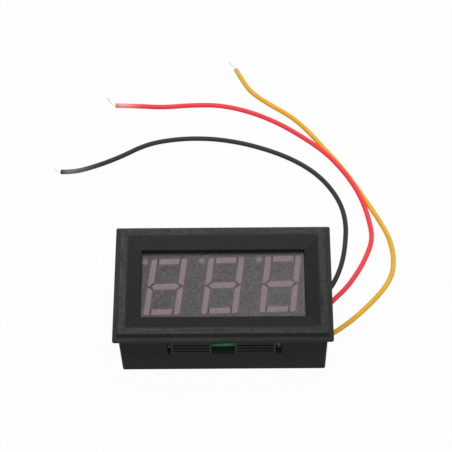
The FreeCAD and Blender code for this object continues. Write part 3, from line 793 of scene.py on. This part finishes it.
def dress(node, material, edge=None):
    """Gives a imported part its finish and, where a width is given, rounded edges."""
    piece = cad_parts[node]
    wear(piece, material)
    if edge:
        soften(piece, edge)
    return piece


def askew(x, y, z):
    """A place on the board or the display, turned as they are, in metres from millimetres."""
    return ASKEW @ (Vector((x, y, z)) * MM)


ROUND_STEPS = 20


def circle(centre, radius, steps=ROUND_STEPS):
    """Corners of a circle, as (x, y)."""
    turns = [2 * math.pi * number / steps for number in range(steps)]
    return [(centre[0] + radius * math.cos(a), centre[1] + radius * math.sin(a)) for a in turns]


def add_ring(form, corners):
    """New corners of a mesh, in their order."""
    return [form.verts.new(corner) for corner in corners]


def bridge(form, lower, upper):
    """Side faces between two closed rings of as many corners."""
    count = len(lower)
    for number in range(count):
        following = (number + 1) % count
        form.faces.new((lower[number], lower[following], upper[following], upper[number]))


def add_skin(form, rings, closed=False):
    """Side faces from ring to ring, which close on themselves or end in caps."""
    for lower, upper in zip(rings, rings[1:]):
        bridge(form, lower, upper)
    if closed:
        bridge(form, rings[-1], rings[0])
    else:
        form.faces.new(rings[0])
        form.faces.new(rings[-1])


def add_prism(form, outline, low, high):
    """A closed outline of (x, y) in board millimetres, between two levels in millimetres."""
    levels = (low, high)
    add_skin(form, [add_ring(form, [askew(x, y, level) for x, y in outline]) for level in levels])


# The cosine at a sharp corner counts as no less than this, so that its mitre stays short.
MITRE_COSINE = 0.35


def offset_side(points, number, distance, closed):
    """A corner of a line moved sideways, mitred where two runs meet."""
    here = Vector(points[number])
    count = len(points)
    before = Vector(points[number - 1]) if closed or number > 0 else None
    after = Vector(points[(number + 1) % count]) if closed or number < count - 1 else None
    runs = []
    if before is not None:
        runs.append((here - before).normalized())
    if after is not None:
        runs.append((after - here).normalized())
    sides = [Vector((-run.y, run.x)) for run in runs]
    middle = sum(sides, Vector((0.0, 0.0))).normalized()
    return here + middle * (distance / max(middle.dot(sides[0]), MITRE_COSINE))


def add_band(form, points, left, right, low, high, closed=False):
    """A flat band along a line, from one distance beside it to another, between two levels."""
    rings = []
    for number in range(len(points)):
        inner = offset_side(points, number, left, closed)
        outer = offset_side(points, number, right, closed)
        corners = ((inner, low), (outer, low), (outer, high), (inner, high))
        rings.append(add_ring(form, [askew(spot.x, spot.y, level) for spot, level in corners]))
    add_skin(form, rings, closed)


def add_turned(form, centre, profile):
    """A profile of (radius, level) in millimetres turned round an upright line."""
    rings = []
    for radius, level in profile:
        corners = [Vector((x, y, level)) * MM for x, y in circle((0.0, 0.0), radius)]
        rings.append(add_ring(form, [centre + corner for corner in corners]))
    add_skin(form, rings)


def beside_line(points, number, turn):
    """The direction away from a line at one of its points, at a turn round it in radians."""
    ahead = points[min(number + 1, len(points) - 1)] - points[max(number - 1, 0)]
    across = ahead.cross(Vector((0.0, 0.0, 1.0))).normalized()
    above = across.cross(ahead).normalized()
    return across * math.cos(turn) + above * math.sin(turn)


def add_tube(form, points, radius, sides):
    """A round rod through points."""
    turns = [2 * math.pi * side / sides for side in range(sides)]
    rings = []
    for number, point in enumerate(points):
        corners = [point + radius * beside_line(points, number, turn) for turn in turns]
        rings.append(add_ring(form, corners))
    add_skin(form, rings)


def packed_form(node):
    """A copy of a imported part's mesh, with its corners joined."""
    form = bmesh.new()
    form.from_mesh(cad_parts[node].data)
    bmesh.ops.remove_doubles(form, verts=form.verts, dist=SAME_CORNER)
    return form


def solid_boxes(node):
    """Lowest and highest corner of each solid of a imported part, in board millimetres."""
    form = packed_form(node)
    left = set(form.verts)
    boxes = []
    while left:
        island = {left.pop()}
        edge_of_search = list(island)
        while edge_of_search:
            vertex = edge_of_search.pop()
            for edge in vertex.link_edges:
                other = edge.other_vert(vertex)
                if other not in island:
                    island.add(other)
                    edge_of_search.append(other)
        left -= island
        spots = np.array([ASKEW.transposed() @ vertex.co for vertex in island]) / MM
        boxes.append((spots.min(axis=0), spots.max(axis=0)))
    form.free()
    return sorted(boxes, key=lambda box: tuple(box[0].round(3)))


# Wires.

ROUTE_RESOLUTION = 12
ROUND_RESOLUTION = 6


def route_curve(name, points):
    """A smooth open line with a wire's route points as its control points."""
    curve = bpy.data.curves.new(name, "CURVE")
    curve.dimensions = "3D"
    curve.resolution_u = ROUTE_RESOLUTION
    spline = curve.splines.new("NURBS")
    spline.points.add(len(points) - 1)
    for point, place in zip(spline.points, points):
        point.co = (*place, 1.0)
    spline.order_u = 3
    spline.use_endpoint_u = True
    return linked(name, curve)


def insulated_wire(colour, look, material):
    """One wire's insulation, round and closed at both ends."""
    piece = route_curve(colour + "_insulation", ROUTES[colour])
    piece.data.bevel_depth = look.diameter / 2
    piece.data.bevel_resolution = ROUND_RESOLUTION
    piece.data.use_fill_caps = True
    wear(piece, material)
    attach(piece, CASE_BODY)
    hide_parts(colour + "_wire")
    return piece


def route_line(points):
    """Points along the smooth line, as Blender draws it."""
    guide = route_curve("guide", points)
    line = bpy.data.meshes.new_from_object(guide)
    places = [vertex.co.copy() for vertex in line.vertices]
    curve = guide.data
    bpy.data.objects.remove(guide)
    bpy.data.curves.remove(curve)
    bpy.data.meshes.remove(line)
    return places


STRANDS_ROUND = 6
STRAND_SIDES = 8
STRAND_TURNS_PER_MM = 0.42
STRAND_SPLAY = 0.35


def stripped_tip(colour, look, material):
    """Seven tinned strands, twisted, that open a little at the end."""
    line = route_line((ROUTES[colour][-1], TIP_BENDS[colour], TIP_ENDS[colour]))
    form = bmesh.new()
    add_tube(form, line, look.strand / 2, STRAND_SIDES)
    for strand in range(STRANDS_ROUND):
        start = 2 * math.pi * strand / STRANDS_ROUND
        travelled = 0.0
        places = []
        for number, point in enumerate(line):
            if number:
                travelled += (point - line[number - 1]).length
            share = number / (len(line) - 1)
            turn = start + 2 * math.pi * STRAND_TURNS_PER_MM * travelled / MM
            spread = look.strand * (1 + STRAND_SPLAY * share**3)
            places.append(point + spread * beside_line(line, number, turn))
        add_tube(form, places, look.strand / 2, STRAND_SIDES)
    piece = placed(colour + "_strands", form, material)
    smooth(piece)
    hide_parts(colour + "_tip")
    return piece


class VOLTMETER_OT_wires(bpy.types.Operator):
    """Lays the three hook-up wires with their stripped and tinned ends"""

    bl_idname = "voltmeter.wires"
    bl_label = "Wires"

    def execute(self, context):
        look = context.scene.voltmeter_wires
        solder_look = context.scene.voltmeter_board
        tinned = metal("stripped_ends", solder_look.solder, roughness=0.28, grain=0.3)
        for colour, route in ROUTES.items():
            shade, pale = getattr(look, colour), getattr(look, "pale_" + colour)
            name = colour + "_insulation"
            material = insulation(name, shade, pale, route[-1], STRETCHED[colour])
            wire = insulated_wire(colour, look, material)
            strands = stripped_tip(colour, look, tinned)
        return {"FINISHED"}


# Stage.

TABLE_RADIUS = 1.6
TABLE_SIDES = 64
LAMP_AIM = Vector((0.0, 0.015, 0.005))
KEY_PLACE = Vector((-0.02, -0.12, 0.70))
KEY_SIZE = 0.60
FILL_PLACE = Vector((0.15, 0.44, 0.58))
FILL_SIZE = 0.40
SENSOR_WIDTH = 36.0
VIEW_REACH = (0.01, 10.0)


def area_lamp(name, place, size, power):
    """A square lamp that shines on the object."""
    light = bpy.data.lights.new(name, "AREA")
    light.shape = "SQUARE"
    light.size = size
    light.energy = power
    lamp = linked(name, light)
    lamp.location = place
    lamp.rotation_euler = (LAMP_AIM - place).to_track_quat("-Z", "Y").to_euler()


def table_top(material):
    """A flat round table under everything."""
    form = bmesh.new()
    outline = circle((0.0, 0.0), TABLE_RADIUS, TABLE_SIDES)
    form.faces.new(add_ring(form, [(x, y, 0.0) for x, y in outline]))
    meshed("table", form, material)


def sky(strength):
    """Even light from all round that looks plain white."""
    finish = Finish(bpy.data.worlds.new("sky"))
    light = finish.add("ShaderNodeBackground", sockets={"Color": WHITE, "Strength": strength})
    white = finish.add("ShaderNodeBackground", sockets={"Color": WHITE, "Strength": 1.0})
    sockets = {0: seen_white(finish), 1: light.outputs[0], 2: white.outputs[0]}
    mixed = finish.add("ShaderNodeMixShader", sockets=sockets)
    bpy.context.scene.world = finish.output("ShaderNodeOutputWorld", mixed)


class VOLTMETER_OT_stage(bpy.types.Operator):
    """Sets up the camera, the table and the light"""

    bl_idname = "voltmeter.stage"
    bl_label = "Stage"

    def execute(self, context):
        scene = context.scene
        look = scene.voltmeter_studio
        scene.view_settings.view_transform = "Standard"
        lens = bpy.data.cameras.new("camera")
        lens.lens = look.lens
        lens.sensor_width = SENSOR_WIDTH
        lens.clip_start, lens.clip_end = VIEW_REACH
        camera = linked("camera", lens)
        camera.location = look.camera_place
        camera.rotation_euler = look.camera_turn
        scene.camera = camera
        table_top(table_surface(look))
        sky(look.sky)
        area_lamp("key", KEY_PLACE, KEY_SIZE, look.key)
        area_lamp("fill", FILL_PLACE, FILL_SIZE, look.fill)
        return {"FINISHED"}


# Case.


class VOLTMETER_OT_case(bpy.types.Operator):
    """Finishes the moulded case"""

    bl_idname = "voltmeter.case"
    bl_label = "Case"

    def execute(self, context):
        look = context.scene.voltmeter_case
        dress("housing", case_plastic(look), look.edge)
        return {"FINISHED"}


# Display.

SAME_LEVEL = 0.01 * MM
FACING_UP = 0.9


def bar_outlines(node):
    """The outline of each resin bar on the display's face, as (x, y) in board millimetres."""
    form = packed_form(node)
    tops = []
    for face in form.faces:
        level = face.calc_center_median().z
        if face.normal.z > FACING_UP and abs(level - FACE_LEVEL) < SAME_LEVEL:
            tops.append(face)
    ahead = {}
    for face in tops:
        for loop in face.loops:
            if not any(other in tops for other in loop.edge.link_faces if other is not face):
                ahead[loop.vert] = loop.link_loop_next.vert
    outlines = []
    while ahead:
        vertex, following = ahead.popitem()
        outline = [vertex]
        while following in ahead:
            outline.append(following)
            following = ahead.pop(following)
        spots = [ASKEW.transposed() @ corner.co / MM for corner in outline]
        outlines.append([(spot.x, spot.y) for spot in spots])
    form.free()
    return outlines


RIM_LEVEL = 0.012
RIM_THICKNESS = 0.012
RIM_OVERLAP = 0.05


def bar_rims(look):
    """A thin line round each bar and point, just proud of the face."""
    form = bmesh.new()
    low = FACE_LEVEL / MM + RIM_LEVEL
    outward = RIM_OVERLAP - look.rim_width / MM
    for node in ("segments_left", "segments_middle", "segments_right", "decimal_points"):
        for outline in bar_outlines(node):
            add_band(form, outline, RIM_OVERLAP, outward, low, low + RIM_THICKNESS, closed=True)
    return placed("bar_rims", form, bar_rim(look))


class VOLTMETER_OT_display(bpy.types.Operator):
    """Finishes the display module's face, bars and points"""

    bl_idname = "voltmeter.display"
    bl_label = "Display"

    def execute(self, context):
        look = context.scene.voltmeter_display
        dress("display_shell", face_plastic(look))
        bars = resin("bar_resin", look.bar, look.bar_warm)
        for side in ("left", "middle", "right"):
            dress("segments_" + side, bars)
        dress("decimal_points", resin("point_resin", look.point, look.bar_warm))
        chips = grained("light_chips", look.chip, size=0.1, depth=0.004, roughness=0.4)
        dress("light_chips", chips)
        carrier = grained("carrier_board", look.carrier, size=0.3, depth=0.006, roughness=0.55)
        dress("display_carrier", carrier)
        bar_rims(look)
        return {"FINISHED"}


FILM_LIFT = 0.035
FILM_CORNER = 0.5
FILM_STEPS = 5


def film_sheet(material):
    """The cover film, cut with round corners and lying just clear of the face."""
    low, high = (corner / MM for corner in FILM_BOX)
    middle = (low + high) / 2
    half = (high - low) / 2
    outline = []
    for quarter, (sign_x, sign_y) in enumerate(((1, 1), (-1, 1), (-1, -1), (1, -1))):
        for step in range(FILM_STEPS + 1):
            angle = math.pi / 2 * (quarter + step / FILM_STEPS)
            x = middle.x + sign_x * (half.x - FILM_CORNER) + FILM_CORNER * math.cos(angle)
            y = middle.y + sign_y * (half.y - FILM_CORNER) + FILM_CORNER * math.sin(angle)
            outline.append((x, y))
    form = bmesh.new()
    rings = []
    for level in (low.z + FILM_LIFT, high.z):
        rings.append(add_ring(form, [Vector((x, y, level)) * MM for x, y in outline]))
    add_skin(form, rings)
    piece = placed("film_sheet", form, material)
    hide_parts("display_film")
    return piece


class VOLTMETER_OT_film(bpy.types.Operator):
    """Lays the clear film over the display"""

    bl_idname = "voltmeter.film"
    bl_label = "Film"

    def execute(self, context):
        film_sheet(film_plastic(context.scene.voltmeter_display))
        return {"FINISHED"}


# Circuit board: copper under the mask, legend, pins and solder.

COPPER_THICKNESS = 0.035
LEGEND_THICKNESS = 0.02
SIGNAL_WIDTH = 0.28
POWER_WIDTH = 0.75
LEGEND_WIDTH = 0.16
BOARD_EDGE = 0.05 * MM

SIGNAL_TRACKS = (
    ((-6.05, 5.4), (-6.35, 5.9), (-6.35, 7.3)),
    ((-4.75, 5.4), (-4.75, 6.0), (-3.81, 6.9), (-3.81, 7.3)),
    ((-3.45, 5.4), (-3.45, 6.0), (-2.54, 6.9), (-2.54, 8.6), (-4.4, 9.4)),
    ((-2.15, 5.4), (-2.15, 6.0), (-1.27, 6.9), (-1.27, 7.3)),
    ((-0.85, 5.4), (-0.85, 6.1), (0.0, 6.9), (0.0, 8.6), (-0.8, 9.4)),
    ((0.45, 5.4), (0.45, 6.1), (1.27, 6.9), (1.27, 7.3)),
    ((1.75, 5.4), (1.75, 6.1), (2.54, 6.9), (2.54, 8.6), (3.3, 9.4)),
    ((3.05, 5.4), (3.05, 6.1), (3.81, 6.9), (3.81, 7.3)),
    ((-4.42, -2.9), (-4.42, -3.5), (-5.2, -4.3)),
    ((-3.78, -2.9), (-3.78, -7.3)),
    ((-1.18, -2.9), (-1.18, -7.3)),
    ((0.12, -2.9), (0.12, -3.7), (0.6, -4.2)),
    ((1.42, -2.9), (2.3, -3.8), (2.3, -6.2), (1.27, -7.2)),
    ((14.0, -5.5), (12.7, -5.5), (12.1, -4.9), (6.2, -4.9)),
    ((9.6, -2.0), (9.6, -3.0), (8.9, -3.7), (4.1, -3.7), (3.1, -4.7)),
    ((8.4, 2.8), (8.4, 4.2), (6.35, 6.2), (6.35, 7.3)),
    ((-11.8, 5.3), (-11.8, 6.4), (-12.4, 7.0), (-15.6, 7.0), (-16.5, 6.1), (-16.5, 4.6)),
)
POWER_TRACKS = (
    ((14.0, -2.9), (15.6, -2.9), (16.4, -3.7), (16.4, -8.3), (15.4, -9.3), (8.6, -9.3)),
    ((8.6, -9.3), (-13.3, -9.3), (-14.4, -8.2), (-14.4, -4.0)),
    ((-9.3, -4.0), (-8.3, -3.0), (-8.3, 0.9), (-9.3, 1.9), (-10.3, 1.9)),
    ((-13.3, 1.9), (-14.8, 1.9), (-15.9, 0.9), (-15.9, 0.4)),
    ((14.0, -0.4), (14.0, 1.9), (15.4, 3.3), (15.4, 8.4), (14.5, 9.3), (8.4, 9.3)),
    ((-6.4, 9.3), (-18.6, 9.3), (-19.6, 8.3), (-19.6, 1.4), (-18.7, 0.5)),
)
# The track along the board's near edge shows in the openings; its light green is partly its own
# colour and partly painted light.
EDGE_TRACK_WITH_PAINTED_LIGHT = ((-9.4, -10.6), (18.6, -10.6))
EDGE_TRACK_WIDTH = 0.55
EDGE_PADS = ((12.05, -10.66), (-17.2, -10.4))
EDGE_PAD_RADIUS = 0.42
EDGE_PAD_THICKNESS = 0.056
BOARD_NEAR_EDGE = -11.0
DAB_NEAR = (-13.1, -11.12)
DAB_FAR = (-11.2, -10.1)
DAB_RAISE = 1.05
DAB_PROUD = 0.60
DAB_ROUNDING = 0.25 * MM
DAB_SEGMENTS = 4


def board_copper(look):
    """Tracks that show as lighter, raised lines under the green mask; the near edge's track is
    also painted light.
    """
    form = bmesh.new()
    rear = BOARD_REAR / MM
    for tracks, width in ((SIGNAL_TRACKS, SIGNAL_WIDTH), (POWER_TRACKS, POWER_WIDTH)):
        for track in tracks:
            add_band(form, track, -width / 2, width / 2, rear - COPPER_THICKNESS, rear)
    front = BOARD_FRONT / MM
    half = EDGE_TRACK_WIDTH / 2
    add_band(form, EDGE_TRACK_WITH_PAINTED_LIGHT, -half, half, front, front + COPPER_THICKNESS)
    return placed("board_tracks", form, solder_mask("board_tracks", look.track))


def box_outline(low, high, margin=0.0):
    """A rectangle round a part, a margin wider, as (x, y) corners."""
    left, near = low[0] - margin, low[1] - margin
    right, far = high[0] + margin, high[1] + margin
    return ((left, near), (right, near), (right, far), (left, far))


LEGEND_MARGINS = {
    "voltage_regulator": 0.25,
    "protection_diode": 0.25,
    "trimmer_base": 0.3,
    "filter_capacitors": 0.3,
    "divider_resistors": 0.25,
    "microcontroller": 0.0,
}


def board_legend(look):
    """Printed outlines round the parts on the board's rear."""
    form = bmesh.new()
    rear = BOARD_REAR / MM
    half = LEGEND_WIDTH / 2
    for node, margin in LEGEND_MARGINS.items():
        for low, high in solid_boxes(node):
            outline = box_outline(low, high, margin)
            add_band(form, outline, -half, half, rear - LEGEND_THICKNESS, rear, closed=True)
    return placed("board_legend", form, legend_ink(look))


def board_pads(material):
    """Tinned test pads that wrap over the board's near edge."""
    form = bmesh.new()
    rear = BOARD_REAR / MM
    top = BOARD_FRONT / MM + EDGE_PAD_THICKNESS
    for centre in EDGE_PADS:
        add_prism(form, circle(centre, EDGE_PAD_RADIUS), top - EDGE_PAD_THICKNESS, top)
        low = (centre[0] - EDGE_PAD_RADIUS, BOARD_NEAR_EDGE - EDGE_PAD_THICKNESS)
        high = (centre[0] + EDGE_PAD_RADIUS, BOARD_NEAR_EDGE)
        add_prism(form, box_outline(low, high), rear, top)
    return placed("board_pads", form, material)


def sealant_dab(material):
    """The dab of pale sealant that holds the board's near edge."""
    form = bmesh.new()
    outline = box_outline(DAB_NEAR, DAB_FAR)
    add_prism(form, outline, BOARD_REAR / MM + DAB_RAISE, BOARD_FRONT / MM + DAB_PROUD)
    piece = placed("sealant_dab", form, material)
    soften(piece, DAB_ROUNDING, DAB_SEGMENTS)
    return piece


class VOLTMETER_OT_board(bpy.types.Operator):
    """Finishes the circuit board with its tracks, pads and printed outlines"""

    bl_idname = "voltmeter.board"
    bl_label = "Board"

    def execute(self, context):
        look = context.scene.voltmeter_board
        dress("circuit_board", solder_mask("board_green", look.mask), BOARD_EDGE)
        board_copper(look)
        board_legend(look)
        sealant_dab(grained("sealant", look.sealant, size=0.4, depth=0.01, roughness=0.4))
        flux = {"size": 0.6, "depth": 0.004, "roughness": 0.5, "contrast": 0.1}
        # The pads' near-white colour is partly painted light.
        board_pads(grained("board_pads", look.pad, **flux))
        return {"FINISHED"}


# A solder mound's radii and rises in millimetres, from the board to its tip.
MOUND_PROFILE = (
    (0.86, 0.0),
    (0.78, 0.07),
    (0.60, 0.16),
    (0.46, 0.30),
    (0.38, 0.48),
    (0.33, 0.66),
    (0.22, 0.78),
)
MOUND_SHARP_ANGLE = 60.0
LEAD_EDGE = 0.05 * MM


def solder_mounds(name, node, centres, material):
    """Solder drawn up round each lead in a hollow cone."""
    form = bmesh.new()
    rear = BOARD_REAR / MM
    profile = [(radius, rear - rise) for radius, rise in MOUND_PROFILE]
    for centre in centres:
        add_turned(form, Vector((centre[0], centre[1], 0.0)), profile)
    piece = placed(name, form, material)
    smooth(piece, MOUND_SHARP_ANGLE)
    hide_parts(node)
    return piece


class VOLTMETER_OT_solder(bpy.types.Operator):
    """Solders the display's pins and the wires' ends"""

    bl_idname = "voltmeter.solder"
    bl_label = "Solder"

    def execute(self, context):
        look = context.scene.voltmeter_board
        solder = metal("solder", look.solder, roughness=0.22, grain=0.5)
        tinned = metal("tinned_leads", look.solder, roughness=0.30, grain=0.2)
        pins = []
        for low, high in solid_boxes("display_pins"):
            pins.append(askew((low[0] + high[0]) / 2, (low[1] + high[1]) / 2, 0.0))
        solder_mounds("pin_mounds", "pin_solder", pins, solder)
        pads = [route[0] for route in ROUTES.values()]
        solder_mounds("wire_mounds", "wire_solder", pads, solder)
        dress("display_pins", tinned, LEAD_EDGE)
        dress("soldered_ends", tinned)
        return {"FINISHED"}


# Parts under the board.

CAP_REACH = {"segment_resistors": 0.32, "divider_resistors": 0.38, "filter_capacitors": 0.55}
CAP_PROUD = 0.03
CAP_EDGE = 0.05 * MM
TAB_EDGE = 0.03 * MM
GLAZE_EDGE = 0.04 * MM
DISC_EDGE = 0.04 * MM


def end_caps(name, nodes, material):
    """Metal caps over both ends of each resistor or capacitor."""
    form = bmesh.new()
    for node in nodes:
        reach = CAP_REACH[node]
        for low, high in solid_boxes(node):
            length_axis = 0 if high[0] - low[0] > high[1] - low[1] else 1
            for end in (0, 1):
                near = [low[0] - CAP_PROUD, low[1] - CAP_PROUD]
                far = [high[0] + CAP_PROUD, high[1] + CAP_PROUD]
                if end:
                    near[length_axis] = high[length_axis] - reach
                else:
                    far[length_axis] = low[length_axis] + reach
                add_prism(form, box_outline(near, far), low[2] - CAP_PROUD, high[2])
    piece = placed(name, form, material)
    soften(piece, CAP_EDGE)
    return piece


class VOLTMETER_OT_chips(bpy.types.Operator):
    """Finishes the microcontroller, the regulator and the diode with their leads"""

    bl_idname = "voltmeter.chips"
    bl_label = "Chips"

    def execute(self, context):
        look = context.scene.voltmeter_parts
        tinned = context.scene.voltmeter_board.solder
        epoxy = grained("chip_black", look.epoxy, size=0.12, depth=0.01, roughness=0.45)
        for node in ("microcontroller", "voltage_regulator", "protection_diode"):
            dress(node, epoxy, look.edge)
        leads = metal("chip_leads", tinned, roughness=0.28, grain=0.15)
        for node in ("microcontroller_leads", "regulator_leads", "diode_tabs"):
            dress(node, leads, TAB_EDGE)
        return {"FINISHED"}


class VOLTMETER_OT_small_parts(bpy.types.Operator):
    """Finishes the resistors and capacitors with their metal ends"""

    bl_idname = "voltmeter.small_parts"
    bl_label = "Small Parts"

    def execute(self, context):
        look = context.scene.voltmeter_parts
        tinned = context.scene.voltmeter_board.solder
        glaze = grained("resistor_black", look.resistor, size=0.2, depth=0.004, roughness=0.22)
        ceramic = grained("capacitor_tan", look.capacitor, size=0.15, depth=0.006, roughness=0.40)
        for node in ("segment_resistors", "divider_resistors"):
            dress(node, glaze, GLAZE_EDGE)
        dress("filter_capacitors", ceramic, look.edge)
        plated = metal("end_caps", tinned, roughness=0.32, grain=0.3)
        end_caps("part_end_caps", tuple(CAP_REACH), plated)
        return {"FINISHED"}


class VOLTMETER_OT_trimmer(bpy.types.Operator):
    """Finishes the trimmer and its turning disc"""

    bl_idname = "voltmeter.trimmer"
    bl_label = "Trimmer"

    def execute(self, context):
        look = context.scene.voltmeter_parts
        tinned = context.scene.voltmeter_board.solder
        moulded = {"size": 0.3, "depth": 0.006, "roughness": 0.38, "contrast": 0.15}
        dress("trimmer_base", grained("trimmer_white", look.trimmer, **moulded), look.edge)
        disc = metal("trimmer_disc", look.disc, roughness=0.26, grain=0.25)
        dress("trimmer_rotor", disc, DISC_EDGE)
        dress("trimmer_tabs", metal("trimmer_tabs", tinned, roughness=0.30, grain=0.2), TAB_EDGE)
        return {"FINISHED"}


# Sidebar panel and registration.

STEPS = (
    VOLTMETER_OT_stage,
    VOLTMETER_OT_wires,
    VOLTMETER_OT_case,
    VOLTMETER_OT_display,
    VOLTMETER_OT_film,
    VOLTMETER_OT_board,
    VOLTMETER_OT_solder,
    VOLTMETER_OT_chips,
    VOLTMETER_OT_small_parts,
    VOLTMETER_OT_trimmer,
)
SETTINGS = {
    "voltmeter_studio": StudioSettings,
    "voltmeter_wires": WireSettings,
    "voltmeter_case": CaseSettings,
    "voltmeter_display": DisplaySettings,
    "voltmeter_board": BoardSettings,
    "voltmeter_parts": PartSettings,
}


class VOLTMETER_PT_panel(bpy.types.Panel):
    """Lists the steps and their settings"""

    bl_idname = "VOLTMETER_PT_panel"
    bl_label = "Panel Voltmeter"
    bl_space_type = "VIEW_3D"
    bl_region_type = "UI"
    bl_category = "Voltmeter"

    def draw(self, context):
        for step in STEPS:
            self.layout.operator(step.bl_idname)
        for name, group in SETTINGS.items():
            box = self.layout.box()
            for setting in group.__annotations__:
                box.prop(getattr(context.scene, name), setting)


def register():
    for group in SETTINGS.values():
        bpy.utils.register_class(group)
    for step in (*STEPS, VOLTMETER_PT_panel):
        bpy.utils.register_class(step)
    for name, group in SETTINGS.items():
        setattr(bpy.types.Scene, name, bpy.props.PointerProperty(type=group))


def unregister():
    for name in SETTINGS:
        delattr(bpy.types.Scene, name)
    for step in (VOLTMETER_PT_panel, *reversed(STEPS)):
        bpy.utils.unregister_class(step)
    for group in reversed(SETTINGS.values()):
        bpy.utils.unregister_class(group)


def main():
    register()
    bpy.ops.voltmeter.stage()
    bpy.ops.voltmeter.wires()
    bpy.ops.voltmeter.case()
    bpy.ops.voltmeter.display()
    bpy.ops.voltmeter.film()
    bpy.ops.voltmeter.board()
    bpy.ops.voltmeter.solder()
    bpy.ops.voltmeter.chips()
    bpy.ops.voltmeter.small_parts()
    bpy.ops.voltmeter.trimmer()


if __name__ == "__main__":
    main()
